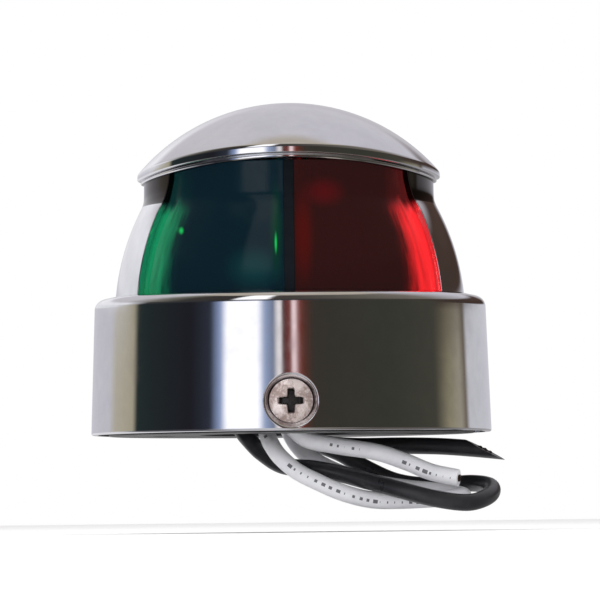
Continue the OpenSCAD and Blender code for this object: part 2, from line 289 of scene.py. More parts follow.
def tube_piece(name: str, path: np.ndarray, radius: float, sides: int,
               slant: float = 0.0) -> bpy.types.Object:
    """Makes a closed round tube along a path, with a UV map of its own.

    A point is path + r (cos v across + sin v up). U is the length along the path in
    millimetres and V goes once round. The far end may be cut at a slant: there a point of the
    rim stops short by slant (1 + h) / 2, where h is how far up it lies, from -1 to 1.

    Args:
        name: the object's name.
        path: centre line of shape (n, 3), in mm.
        radius: the tube's radius, in mm.
        sides: number of points round the tube.
        slant: how much sooner the upper side ends than the lower, in mm.

    Returns:
        The new object.
    """
    across, up = path_frames(path)
    line = run_along(path)
    turn = np.arange(sides) * TAU / sides
    rim = np.cos(turn)[:, None] * across[-1] + np.sin(turn)[:, None] * up[-1]
    reach = line[-1] - slant * (0.5 + 0.5 * rim[:, 2] / max(np.abs(rim[:, 2]).max(), 1e-6))
    place = line[:, None] * (reach / line[-1])[None, :]
    ring = (np.cos(turn)[None, :, None] * looked_up(place, line, across)
            + np.sin(turn)[None, :, None] * looked_up(place, line, up))
    points = looked_up(place, line, path) + radius * ring
    ends = [np.repeat(row.mean(axis=0)[None, None], sides, 1) for row in (points[0], points[-1])]
    points = np.concatenate([ends[0], points, ends[1]])
    run = np.concatenate([place[:1], place, place[-1:]])
    faces = grid_faces(len(points), sides, wrap_cols=True)
    mesh = bpy.data.meshes.new(name)
    mesh.from_pydata((points.reshape(-1, 3) * MM).tolist(), [], faces.tolist())
    column = faces % sides
    v = np.where((column == 0) & ((np.arange(4) == 1) | (np.arange(4) == 2))[None, :], sides, column) / sides
    uv = mesh.uv_layers.new(name="along")
    uv.data.foreach_set("uv", np.stack([run.ravel()[faces], v], axis=-1).astype(np.float32).ravel())
    closed(mesh, UV_MERGE_M)
    return shaded(name, mesh, TUBE_SHARP_DEG)


def bevelled(piece: bpy.types.Object, width: float, segments: int = 2,
             angle_deg: float = 40.0) -> bpy.types.Object:
    """Rounds the piece's sharp edges.

    Args:
        piece: the mesh object.
        width: width of the rounding, in mm.
        segments: number of steps across it.
        angle_deg: edges sharper than this are rounded.

    Returns:
        The same object.
    """
    bevel = piece.modifiers.new("rounded edges", "BEVEL")
    bevel.width = width * MM
    bevel.segments = segments
    bevel.limit_method = "ANGLE"
    bevel.angle_limit = math.radians(angle_deg)
    bevel.use_clamp_overlap = True
    return piece


def cad_copy(node: str, name: str, bevel_mm: float, sharp_deg: float = 30.0) -> bpy.types.Object:
    """A copy of a CAD node's solid with merged points, flat faces made whole and edges rounded.

    Args:
        node: the CAD node.
        name: the copy's name.
        bevel_mm: width of the rounding, in mm.
        sharp_deg: edges sharper than this angle are shaded sharp.

    Returns:
        The new object.
    """
    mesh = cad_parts[node].data.copy()
    mesh.materials.clear()
    shape = bmesh.new()
    shape.from_mesh(mesh)
    bmesh.ops.remove_doubles(shape, verts=shape.verts, dist=MERGE_M)
    bmesh.ops.dissolve_limit(shape, angle_limit=math.radians(FLAT_DEG), verts=shape.verts, edges=shape.edges)
    shape.to_mesh(mesh)
    shape.free()
    return bevelled(shaded(name, mesh, sharp_deg), bevel_mm)


def settled(piece: bpy.types.Object, body: Body, slot: str, finish: bpy.types.Material,
            *nodes: str) -> bpy.types.Object:
    """Gives a piece its finish and its body, and hides the CAD nodes that it stands for.

    Args:
        piece: the finished object.
        body: the body that it rides on.
        slot: the record's material slot; not used.
        finish: the material.
        nodes: the CAD nodes that it stands for.

    Returns:
        The same object.
    """
    piece.data.materials.append(finish)
    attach(piece, body.value)
    if nodes:
        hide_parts(*nodes)
    LOG.info("%s: %d faces on %s", piece.name, len(piece.data.polygons), body.value)
    return piece


# ---------------------------------------------------------------------------- shader effects


class Wiring:
    """Short way to add and join nodes in one node tree."""

    def __init__(self, tree: bpy.types.NodeTree) -> None:
        """Keeps the tree."""
        self.tree = tree

    def add(self, kind: str, **values: object) -> bpy.types.Node:
        """Adds a node.

        Args:
            kind: the node's type, without its ShaderNode prefix unless it has another.
            values: attributes of the node; a name that ends in _in sets an input socket, with
                single underscores read as spaces.

        Returns:
            The node.
        """
        node = self.tree.nodes.new(kind if kind.startswith("NodeGroup") else f"ShaderNode{kind}")
        for name, value in values.items():
            if name.endswith("_in"):
                node.inputs[name[:-3].replace("_", " ")].default_value = value
            else:
                setattr(node, name, value)
        return node

    def join(self, out: bpy.types.NodeSocket, into: bpy.types.NodeSocket) -> None:
        """Links an output to an input."""
        self.tree.links.new(out, into)

    def math(self, operation: str, *terms: float | bpy.types.NodeSocket) -> bpy.types.NodeSocket:
        """A Math node of one to three terms.

        Args:
            operation: the node's operation.
            terms: numbers or sockets.

        Returns:
            The result's socket.
        """
        node = self.add("Math", operation=operation)
        for socket, term in zip(node.inputs, terms):
            if isinstance(term, (int, float)):
                socket.default_value = term
            else:
                self.join(term, socket)
        return node.outputs[0]

    def mix(self, factor: float | bpy.types.NodeSocket, first: object,
            second: object) -> bpy.types.NodeSocket:
        """A colour Mix node.

        Args:
            factor: share of the second colour, a number or a socket.
            first: colour or socket.
            second: colour or socket.

        Returns:
            The result's socket.
        """
        node = self.add("Mix", data_type="RGBA")
        for socket, term in ((node.inputs[0], factor), (node.inputs[6], first), (node.inputs[7], second)):
            if isinstance(term, bpy.types.NodeSocket):
                self.join(term, socket)
            else:
                socket.default_value = term
        return node.outputs[2]

    def place(self, coordinates: str = "Object") -> bpy.types.Node:
        """A Separate XYZ node fed by one of the texture coordinates."""
        node = self.add("SeparateXYZ")
        self.join(self.add("TexCoord").outputs[coordinates], node.inputs[0])
        return node

    def spread(self, value: bpy.types.NodeSocket, to: tuple[float, float]) -> bpy.types.NodeSocket:
        """A value from 0 to 1 carried onto a plain range."""
        node = self.add("MapRange", To_Min_in=to[0], To_Max_in=to[1])
        self.join(value, node.inputs["Value"])
        return node.outputs["Result"]

    def eased(self, value: bpy.types.NodeSocket, low: float, high: float,
              to: tuple[float, float] = (0.0, 1.0)) -> bpy.types.NodeSocket:
        """A value's place between low and high, eased at both ends and carried onto a range.

        Args:
            value: the value's socket.
            low: value that gives the range's start.
            high: value that gives its end.
            to: the range.

        Returns:
            The result's socket.
        """
        node = self.add("MapRange", interpolation_type="SMOOTHSTEP", From_Min_in=low, From_Max_in=high,
                        To_Min_in=to[0], To_Max_in=to[1])
        self.join(value, node.inputs["Value"])
        return node.outputs["Result"]

    def length(self, first: bpy.types.NodeSocket, second: bpy.types.NodeSocket) -> bpy.types.NodeSocket:
        """Root of the sum of two values' squares."""
        return self.math("SQRT", self.math("ADD", self.math("POWER", first, 2.0),
                                           self.math("POWER", second, 2.0)))

    def ramp(self, factor: bpy.types.NodeSocket, stops: list[tuple[float, tuple[float, ...]]],
             interpolation: str = "LINEAR") -> bpy.types.NodeSocket:
        """A Color Ramp with stops of (place, colour).

        Args:
            factor: the socket that is looked up.
            stops: places from 0 to 1 and their colours.
            interpolation: how colours blend between stops.

        Returns:
            The colour's socket.
        """
        node = self.add("ValToRGB")
        node.color_ramp.interpolation = interpolation
        elements = node.color_ramp.elements
        while len(elements) < len(stops):
            elements.new(0.5)
        for element, (place, colour) in zip(elements, stops):
            element.position = place
            element.color = (*colour[:3], 1.0)
        self.join(factor, node.inputs[0])
        return node.outputs[0]


def effect_group(name: str, inputs: dict[str, float], outputs: tuple[str, ...]) -> tuple[
        bpy.types.NodeTree, Wiring, bpy.types.Node, bpy.types.Node]:
    """Starts a shader node group with number inputs and number outputs.

    Args:
        name: the group's name.
        inputs: input names and their defaults.
        outputs: output names.

    Returns:
        The tree, its wiring, and its input and output nodes.
    """
    tree = bpy.data.node_groups.new(name, "ShaderNodeTree")
    for key, value in inputs.items():
        tree.interface.new_socket(key, in_out="INPUT", socket_type="NodeSocketFloat").default_value = value
    for key in outputs:
        tree.interface.new_socket(key, in_out="OUTPUT", socket_type="NodeSocketFloat")
    wires = Wiring(tree)
    return tree, wires, wires.add("NodeGroupInput"), wires.add("NodeGroupOutput")


def smudge_group() -> bpy.types.NodeTree:
    """Soft blotches, as from handling: two sizes of noise, eased, as Mask from 0 to 1."""
    tree, wires, given, made = effect_group("handling smudges", {"Scale": 60.0, "Spread": 0.5}, ("Mask",))
    place = wires.add("TexCoord").outputs["Object"]
    large = wires.add("TexNoise", Detail_in=3.0, Roughness_in=0.6)
    fine = wires.add("TexNoise", Detail_in=2.0, Roughness_in=0.5)
    for node in (large, fine):
        wires.join(place, node.inputs["Vector"])
    wires.join(given.outputs["Scale"], large.inputs["Scale"])
    wires.join(wires.math("MULTIPLY", given.outputs["Scale"], 6.3), fine.inputs["Scale"])
    weighed = wires.math("MULTIPLY", large.outputs["Fac"], 0.65)
    both = wires.math("MULTIPLY_ADD", fine.outputs["Fac"], 0.35, weighed)
    eased = wires.add("MapRange", interpolation_type="SMOOTHSTEP")
    wires.join(both, eased.inputs["Value"])
    for operation, end in (("SUBTRACT", "From Min"), ("ADD", "From Max")):
        half = wires.math("MULTIPLY", given.outputs["Spread"], 0.25)
        wires.join(wires.math(operation, 0.5, half), eased.inputs[end])
    wires.join(eased.outputs["Result"], made.inputs["Mask"])
    return tree


def grain_group() -> bpy.types.NodeTree:
    """Moulded or cast skin: fine cells over a soft waviness, as Height."""
    tree, wires, given, made = effect_group("surface grain", {"Scale": 900.0, "Waviness": 0.3}, ("Height",))
    place = wires.add("TexCoord").outputs["Object"]
    cells = wires.add("TexVoronoi", feature="SMOOTH_F1", Randomness_in=1.0)
    waves = wires.add("TexNoise", Detail_in=2.0)
    for node in (cells, waves):
        wires.join(place, node.inputs["Vector"])
    wires.join(given.outputs["Scale"], cells.inputs["Scale"])
    wires.join(wires.math("MULTIPLY", given.outputs["Scale"], 0.06), waves.inputs["Scale"])
    wires.join(
        wires.math("MULTIPLY_ADD", waves.outputs["Fac"], given.outputs["Waviness"],
                   wires.math("MULTIPLY", cells.outputs["Distance"], 0.5)),
        made.inputs["Height"])
    return tree


def polish_group() -> bpy.types.NodeTree:
    """Polishing lines round the light's axis: noise that is long round it and short along it."""
    tree, wires, given, made = effect_group("polishing lines", {"Scale": 1.0, "Length": 0.04}, ("Height",))
    place = wires.place()
    turn = wires.math("ARCTAN2", place.outputs["X"], place.outputs["Y"])
    spot = wires.add("CombineXYZ")
    wires.join(wires.math("MULTIPLY", turn, given.outputs["Length"]), spot.inputs["X"])
    wires.join(place.outputs["Z"], spot.inputs["Y"])
    lines = wires.add("TexNoise", noise_dimensions="2D", Detail_in=4.0, Roughness_in=0.65)
    wires.join(spot.outputs[0], lines.inputs["Vector"])
    wires.join(wires.math("MULTIPLY", given.outputs["Scale"], 2600.0), lines.inputs["Scale"])
    wires.join(lines.outputs["Fac"], made.inputs["Height"])
    return tree


class Effects:
    """The shared effects, each built once."""

    def __init__(self) -> None:
        """Builds the groups."""
        self.smudges = smudge_group()
        self.grain = grain_group()
        self.polish = polish_group()

    def place(self, wires: Wiring, tree: bpy.types.NodeTree, **values: float) -> bpy.types.NodeSocket:
        """Puts a group in a material with its own values and gives its first output."""
        node = wires.add("Group", node_tree=tree)
        for key, value in values.items():
            node.inputs[key].default_value = value
        return node.outputs[0]

    def smudged(self, wires: Wiring, size: tuple[float, float]) -> bpy.types.NodeSocket:
        """Smudge mask of a given scale and spread."""
        return self.place(wires, self.smudges, Scale=size[0], Spread=size[1])

    def grained(self, wires: Wiring, size: tuple[float, float]) -> bpy.types.NodeSocket:
        """Grain height of a given scale and waviness."""
        return self.place(wires, self.grain, Scale=size[0], Waviness=size[1])


# ---------------------------------------------------------------------------- finishes


@dataclass(frozen=True)
class Finish:
    """A plain opaque finish: two tones, a roughness range and a bump of one effect."""

    name: str
    tone: Colour
    worn: Colour
    rough: tuple[float, float] = (0.35, 0.5)
    metallic: float = 0.0
    bump: float = 0.1
    bump_mm: float = 0.02
    grain: float = 900.0
    waviness: float = 0.6
    smudge: float = 60.0
    spread: float = 0.8
    specular: float = 0.5

    def build(self, effects: Effects) -> bpy.types.Material:
        """Makes the material.

        Args:
            effects: the shared effects.

        Returns:
            The material.
        """
        material, wires, shader = started(self.name)
        mask = effects.smudged(wires, (self.smudge, self.spread))
        wires.join(wires.mix(mask, (*self.tone, 1.0), (*self.worn, 1.0)), shader.inputs["Base Color"])
        wires.join(wires.spread(mask, self.rough), shader.inputs["Roughness"])
        shader.inputs["Metallic"].default_value = self.metallic
        shader.inputs["Specular IOR Level"].default_value = self.specular
        height = effects.grained(wires, (self.grain, self.waviness))
        raised(wires, shader, height, self.bump, self.bump_mm)
        return material


@dataclass(frozen=True)
class Polished:
    """Bright plated metal with faint polishing lines, handling smudges, and painted shade on the neck under
    the brim.
    """

    name: str
    tone: Colour = (0.83, 0.83, 0.85)
    worn: Colour = (0.74, 0.74, 0.77)
    rough: tuple[float, float] = (0.035, 0.11)
    # painted shade under the brim: its colour, the heights where it starts and stops, and the radius inside
    # which it lies
    neck_shade: Colour = (0.04, 0.034, 0.034)
    neck_shade_z: tuple[float, float] = (39.0, 40.4)
    neck_shade_top: float = 46.6
    neck_shade_r: float = 25.75
    smudge: tuple[float, float] = (70.0, 0.9)
    line_length: float = 0.03
    bump: tuple[float, float] = (0.05, 0.006)

    def build(self, effects: Effects) -> bpy.types.Material:
        """Makes the material.

        Args:
            effects: the shared effects.

        Returns:
            The material.
        """
        material, wires, shader = started(self.name)
        mask = effects.smudged(wires, self.smudge)
        plain = wires.mix(mask, (*self.tone, 1.0), (*self.worn, 1.0))
        # the neck under the brim and the hood's inside there take the painted shade colour
        wires.join(wires.mix(self.neck_shade_mask(wires), plain, (*self.neck_shade, 1.0)), shader.inputs["Base Color"])
        wires.join(wires.spread(mask, self.rough), shader.inputs["Roughness"])
        shader.inputs["Metallic"].default_value = 1.0
        lines = effects.place(wires, effects.polish, Scale=1.0, Length=self.line_length)
        raised(wires, shader, lines, *self.bump)
        return material

    def neck_shade_mask(self, wires: Wiring) -> bpy.types.NodeSocket:
        """Mask of painted shade: the neck under the brim, and the hood's inside at that height, are painted
        dark.

        Args:
            wires: the material's wiring.

        Returns:
            The mask's socket.
        """
        place = wires.place()
        away = wires.length(place.outputs["X"], place.outputs["Y"])
        above = wires.eased(place.outputs["Z"], self.neck_shade_z[0] * MM, self.neck_shade_z[1] * MM)
        below = wires.math("LESS_THAN", place.outputs["Z"], self.neck_shade_top * MM)
        inside = wires.math("LESS_THAN", away, self.neck_shade_r * MM)
        return wires.math("MULTIPLY", wires.math("MULTIPLY", above, below), inside)


@dataclass(frozen=True)
class ScrewSteel:
    """Worn bright steel with pits, and painted shade low in the cross recess, where it is near black and not
    metallic.
    """

    name: str
    centre_z: float
    face_y: float
    tone: Colour = (0.78, 0.68, 0.66)
    pit: Colour = (0.36, 0.27, 0.25)
    metal: float = 0.45
    recess_shade_colour: Colour = (0.015, 0.012, 0.012)
    rough: tuple[float, float] = (0.22, 0.45)
    pitting: tuple[float, float] = (420.0, 0.45)
    bump: tuple[float, float] = (0.5, 0.05)
    reach: float = 2.9
    fade: float = 0.3
    start: float = 0.35
    shallow: float = 0.45

    def build(self, effects: Effects) -> bpy.types.Material:
        """Makes the material.

        Args:
            effects: the shared effects.

        Returns:
            The material.
        """
        material, wires, shader = started(self.name)
        pits = effects.smudged(wires, self.pitting)
        recess_shade = self.recess(wires)
        metal = wires.mix(pits, (*self.tone, 1.0), (*self.pit, 1.0))
        # painted shade low in the cross recess, which also takes away the metal there
        wires.join(wires.mix(recess_shade, metal, (*self.recess_shade_colour, 1.0)), shader.inputs["Base Color"])
        wires.join(wires.spread(pits, self.rough), shader.inputs["Roughness"])
        wires.join(wires.math("MULTIPLY_ADD", recess_shade, -self.metal, self.metal), shader.inputs["Metallic"])
        raised(wires, shader, pits, *self.bump)
        return material

    def recess(self, wires: Wiring) -> bpy.types.NodeSocket:
        """Mask of painted shade on the recess's flanks: deeper than the dome's face and near the screw's
        axis.
        """
        place = wires.place()
        high = wires.math("SUBTRACT", place.outputs["Z"], self.centre_z * MM)
        away = wires.length(place.outputs["X"], high)
        near = wires.eased(away, self.reach * MM, (self.reach - self.fade) * MM)
        start = self.face_y - self.start
        deep = wires.eased(place.outputs["Y"], start * MM, (start + self.shallow) * MM)
        return wires.math("MULTIPLY", near, deep)


@dataclass(frozen=True)
class TintedLens:
    """Clear tinted plastic, deeper in the middle of a half, with painted light: a lighter tint and a painted
    glow towards the window's edge, a faint painted glow all over, painted glints, and painted shade that
    dims the edge light under the brim.
    """

    name: str
    deep: Colour
    # bright is a lighter tint at the window's edge, painted light; glow and depth are emission colours, a
    # painted glow at the edge and a faint painted glow elsewhere
    bright: Colour
    glow: Colour
    depth: Colour
    # ovals of painted glint and painted glow, each with its colour
    painted_glints: tuple[tuple[tuple[float, ...], tuple[float, ...]], ...] = ()
    edge_deg: float = 51.5
    edge_soft_deg: tuple[float, float] = (-9.0, 4.0)
    # heights over which the edge's painted light dims to painted shade under the brim
    brim_shade_z: tuple[float, float] = (40.6, 38.2)
    rough: tuple[float, float] = (0.03, 0.1)
    smudge: tuple[float, float] = (90.0, 0.8)
    waves: tuple[float, float] = (260.0, 1.0)
    bump: tuple[float, float] = (0.04, 0.02)
    clear: float = 0.8
    specular: float = 0.06
    bend: float = 1.22

    def build(self, effects: Effects) -> bpy.types.Material:
        """Makes the material.

        Args:
            effects: the shared effects.

        Returns:
            The material.
        """
        material, wires, shader = started(self.name)
        edge = self.edge_light_mask(wires)
        # base colour lighter towards the window's edge: painted light
        wires.join(wires.mix(edge, (*self.deep, 1.0), (*self.bright, 1.0)), shader.inputs["Base Color"])
        # the lens glows though it is no lamp: painted glow at the edge, faint painted glow elsewhere, and
        # painted glints on top
        painted_glow = wires.mix(edge, (*self.depth, 1.0), (*self.glow, 1.0))
        # painted glints and patches of painted glow laid over the glow
        for spot, tone in self.painted_glints:
            painted_glow = wires.mix(self.glint_mask(wires, spot), painted_glow, (*tone, 1.0))
        wires.join(painted_glow, shader.inputs["Emission Color"])
        shader.inputs["Emission Strength"].default_value = 1.0
        mask = effects.smudged(wires, self.smudge)
        wires.join(wires.spread(mask, self.rough), shader.inputs["Roughness"])
        shader.inputs["Transmission Weight"].default_value = self.clear
        shader.inputs["Specular IOR Level"].default_value = self.specular
        shader.inputs["IOR"].default_value = self.bend
        raised(wires, shader, effects.grained(wires, self.waves), *self.bump)
        return material

    def glint_mask(self, wires: Wiring, spot: tuple[float, ...]) -> bpy.types.NodeSocket:
        """Mask of a soft oval of painted light: a painted glint or patch of glow where a flute or the inside
        would catch the light.

        It is 1 less the squares of the distances from the middle over the half sizes, squared.

        Args:
            wires: the material's wiring.
            spot: the oval's x, z, half width and half height, in mm.

        Returns:
            The mask's socket.
        """
        x, z, wide, tall = (v * MM for v in spot)
        place = wires.place()
        across, along = (
            wires.math("POWER", wires.math("DIVIDE", wires.math("SUBTRACT", axis, middle), half), 2.0)
            for axis, middle, half in ((place.outputs["X"], x, wide), (place.outputs["Z"], z, tall))
        )
        front = wires.math("LESS_THAN", place.outputs["Y"], 0.0)
        oval = wires.math("SUBTRACT", 1.0, wires.math("ADD", across, along))
        return wires.math("MULTIPLY", wires.math("POWER", wires.math("MAXIMUM", oval, 0.0), 2.0), front)

    def edge_light_mask(self, wires: Wiring) -> bpy.types.NodeSocket:
        """Mask of painted light that rises towards the window's edge, dimmed by painted shade under the
        brim, with streaks.

        Args:
            wires: the material's wiring.

        Returns:
            The mask's socket, from 0 to 1.
        """
        place = wires.place()
        turn = wires.math("ABSOLUTE", wires.math(
            "ARCTAN2", place.outputs["X"], wires.math("MULTIPLY", place.outputs["Y"], -1.0)))
        spot = wires.add("CombineXYZ")
        wires.join(wires.math("MULTIPLY", turn, 16.0), spot.inputs["X"])
        wires.join(wires.math("MULTIPLY", place.outputs["Z"], 90.0), spot.inputs["Y"])
        streaks = wires.add("TexNoise", noise_dimensions="2D", Scale_in=1.0, Detail_in=3.0, Roughness_in=0.6)
        wires.join(spot.outputs[0], streaks.inputs["Vector"])
        wobble = wires.math("MULTIPLY_ADD", streaks.outputs["Fac"], 0.22, -0.11)
        low, high = (math.radians(self.edge_deg + more) for more in self.edge_soft_deg)
        edge = wires.eased(wires.math("ADD", turn, wobble), low, high)
        height = wires.math("ADD", place.outputs["Z"], wires.math("MULTIPLY", wobble, 0.02))
        # painted shade under the brim: the edge light falls to 8 percent above the brim's height
        under = wires.eased(height, self.brim_shade_z[0] * MM, self.brim_shade_z[1] * MM, (0.08, 1.0))
        return wires.math("MULTIPLY", edge, under)


@dataclass(frozen=True)
class ClearGlass:
    """Thin clear lamp glass."""

    name: str
    tone: Colour = (0.94, 0.97, 1.0)
    worn: Colour = (0.86, 0.9, 0.95)
    rough: float = 0.03
    bend: float = 1.2
    smudge: tuple[float, float] = (200.0, 0.8)
    waves: tuple[float, float] = (200.0, 1.0)
    bump: tuple[float, float] = (0.03, 0.02)

    def build(self, effects: Effects) -> bpy.types.Material:
        """Makes the material.

        Args:
            effects: the shared effects.

        Returns:
            The material.
        """
        material, wires, shader = started(self.name)
        mask = effects.smudged(wires, self.smudge)
        wires.join(wires.mix(mask, (*self.tone, 1.0), (*self.worn, 1.0)), shader.inputs["Base Color"])
        shader.inputs["Roughness"].default_value = self.rough
        shader.inputs["Transmission Weight"].default_value = 1.0
        shader.inputs["IOR"].default_value = self.bend
        raised(wires, shader, effects.grained(wires, self.waves), *self.bump)
        return material


@dataclass(frozen=True)
class Insulation:
    """Extruded cable covering, with a row of plain dashes along it where marks are wanted."""

    name: str
    tone: Colour
    worn: Colour
    ink: Colour | None = None
    twist: tuple[float, float] = (0.07, 0.00172)
    cell: float = 1.3
    smudge: tuple[float, float] = (180.0, 1.0)
    skin: tuple[float, float] = (700.0, 1.6)
    bump: tuple[float, float] = (0.12, 0.03)
    rough: tuple[float, float] = (0.25, 0.42)

    def build(self, effects: Effects) -> bpy.types.Material:
        """Makes the material.

        Args:
            effects: the shared effects.

        Returns:
            The material.
        """
        material, wires, shader = started(self.name)
        mask = effects.smudged(wires, self.smudge)
        colour = wires.mix(mask, (*self.tone, 1.0), (*self.worn, 1.0))
        if self.ink:
            colour = wires.mix(self.dashes(wires), colour, (*self.ink, 1.0))
        wires.join(colour, shader.inputs["Base Color"])
        wires.join(wires.spread(mask, self.rough), shader.inputs["Roughness"])
        raised(wires, shader, effects.grained(wires, self.skin), *self.bump)
        return material

    def dashes(self, wires: Wiring) -> bpy.types.NodeSocket:
        """Mask of short plain dashes in a narrow band that turns slowly round the covering.

        The lead is cut into short cells of equal length. A random value for each cell says how
        long its dash is, and a slower one leaves gaps between groups.

        Args:
            wires: the material's wiring.

        Returns:
            The mask's socket.
        """
        place = wires.add("SeparateXYZ")
        wires.join(wires.add("UVMap", uv_map="along").outputs["UV"], place.inputs[0])
        run = wires.math("DIVIDE", place.outputs["X"], self.cell)
        cell = wires.math("FLOOR", run)
        part = wires.math("FRACT", run)
        chance = wires.add("TexWhiteNoise", noise_dimensions="1D")
        wires.join(cell, chance.inputs["W"])
        group = wires.add("TexWhiteNoise", noise_dimensions="1D")
        wires.join(wires.math("FLOOR", wires.math("DIVIDE", run, 5.0)), group.inputs["W"])
        inside = wires.math("LESS_THAN", part, wires.math("MULTIPLY", chance.outputs["Value"], 0.8))
        line = wires.math("MULTIPLY_ADD", place.outputs["X"], self.twist[1], self.twist[0])
        around = wires.math("ABSOLUTE", wires.math("SUBTRACT", place.outputs["Y"], line))
        height = wires.math("MULTIPLY_ADD", chance.outputs["Value"], 0.02, 0.018)
        band = wires.math("LESS_THAN", around, height)
        shown = wires.math("GREATER_THAN", group.outputs["Value"], 0.3)
        faded = wires.math("MULTIPLY", shown, 0.85)
        return wires.math("MULTIPLY", wires.math("MULTIPLY", inside, band), faded)


def started(name: str) -> tuple[bpy.types.Material, Wiring, bpy.types.Node]:
    """A new material with its wiring and its Principled shader.

    Args:
        name: the material's name.

    Returns:
        The material, its wiring and the shader node.
    """
    material = bpy.data.materials.new(name)
    material.use_nodes = True
    return material, Wiring(material.node_tree), material.node_tree.nodes["Principled BSDF"]


def raised(wires: Wiring, shader: bpy.types.Node, height: bpy.types.NodeSocket, strength: float,
           distance_mm: float) -> None:
    """Feeds a height into the shader's normal through a Bump node.

    Args:
        wires: the material's wiring.
        shader: the shader node.
        height: the height's socket.
        strength: strength of the bump.
        distance_mm: its depth, in mm.
    """
    bump = wires.add("Bump")
    bump.inputs["Strength"].default_value = strength
    bump.inputs["Distance"].default_value = distance_mm * MM
    wires.join(height, bump.inputs["Height"])
    wires.join(bump.outputs["Normal"], shader.inputs["Normal"])


class Finishes:
    """Every finish of the light, built once."""

    def __init__(self) -> None:
        """Builds the effects and the materials."""
        effects = Effects()
        self.plated = Polished("plated cover").build(effects)
        # lens halves: their own tint, then painted light: a lighter edge tint, an edge glow, a faint glow
        # all over, and ovals of painted glint and glow
        self.green = TintedLens("green lens plastic", (0.003, 0.022, 0.026), (0.02, 0.4, 0.2),
                                (0.002, 0.075, 0.03), (0.003, 0.008, 0.014),
                                # ovals of painted glow and two painted glints on the green half
                                (((-5.9, 28.0, 6.0, 4.8), (0.004, 0.028, 0.032)),
                                 ((-2.2, 34.5, 1.4, 10.5), (0.004, 0.03, 0.014)),
                                 ((-2.3, 32.2, 0.3, 2.4), (0.01, 0.5, 0.09)),
                                 ((-18.5, 34.9, 0.55, 0.85), (0.01, 0.5, 0.09)))).build(effects)
        self.red = TintedLens("red lens plastic", (0.05, 0.004, 0.004), (0.9, 0.06, 0.06),
                              (0.4, 0.012, 0.016), (0.014, 0.006, 0.006),
                              # ovals of painted glow on the red half
                              (((2.4, 33.5, 2.3, 10.5), (0.05, 0.005, 0.004)),
                               ((6.0, 41.0, 4.4, 3.2), (0.055, 0.005, 0.006)))).build(effects)
        self.black = Finish("black moulding", (0.012, 0.013, 0.015), (0.022, 0.022, 0.024),
                            (0.45, 0.6)).build(effects)
        self.divider = Finish("divider plastic", (0.003, 0.005, 0.007), (0.006, 0.008, 0.011), (0.5, 0.7),
                              specular=0.08).build(effects)
        self.rubber = Finish("gasket rubber", (0.018, 0.018, 0.018), (0.03, 0.03, 0.03), (0.3, 0.45),
                             bump=0.2, grain=1400.0).build(effects)
        self.board = Finish("insulating board", (0.26, 0.13, 0.05), (0.34, 0.19, 0.08), (0.4, 0.6),
                            bump=0.2, grain=1600.0).build(effects)
        self.brass = Finish("stamped brass", (0.72, 0.53, 0.24), (0.55, 0.38, 0.17), (0.2, 0.4),
                            metallic=1.0, smudge=140.0).build(effects)
        self.steel = Finish("bright steel", (0.74, 0.7, 0.69), (0.5, 0.46, 0.45), (0.16, 0.34), metallic=1.0,
                            bump=0.35, bump_mm=0.05, grain=1100.0, smudge=260.0).build(effects)
        self.screw = ScrewSteel("worn screw steel", FrontScrew.z, FrontScrew.face_y).build(effects)
        self.copper = Finish("tarnished strand", (0.16, 0.1, 0.08), (0.05, 0.035, 0.03), (0.3, 0.5),
                             metallic=1.0, smudge=500.0).build(effects)
        self.tungsten = Finish("drawn filament", (0.32, 0.3, 0.28), (0.22, 0.2, 0.19), (0.3, 0.5),
                               metallic=1.0).build(effects)
        self.glass = ClearGlass("lamp glass").build(effects)
        self.white_cover = Insulation("white insulation", (0.84, 0.84, 0.87), (0.74, 0.74, 0.79),
                                      (0.03, 0.03, 0.04)).build(effects)
        self.black_cover = Insulation("black insulation", (0.014, 0.014, 0.017),
                                      (0.03, 0.03, 0.034)).build(effects)


# ---------------------------------------------------------------------------- the leads


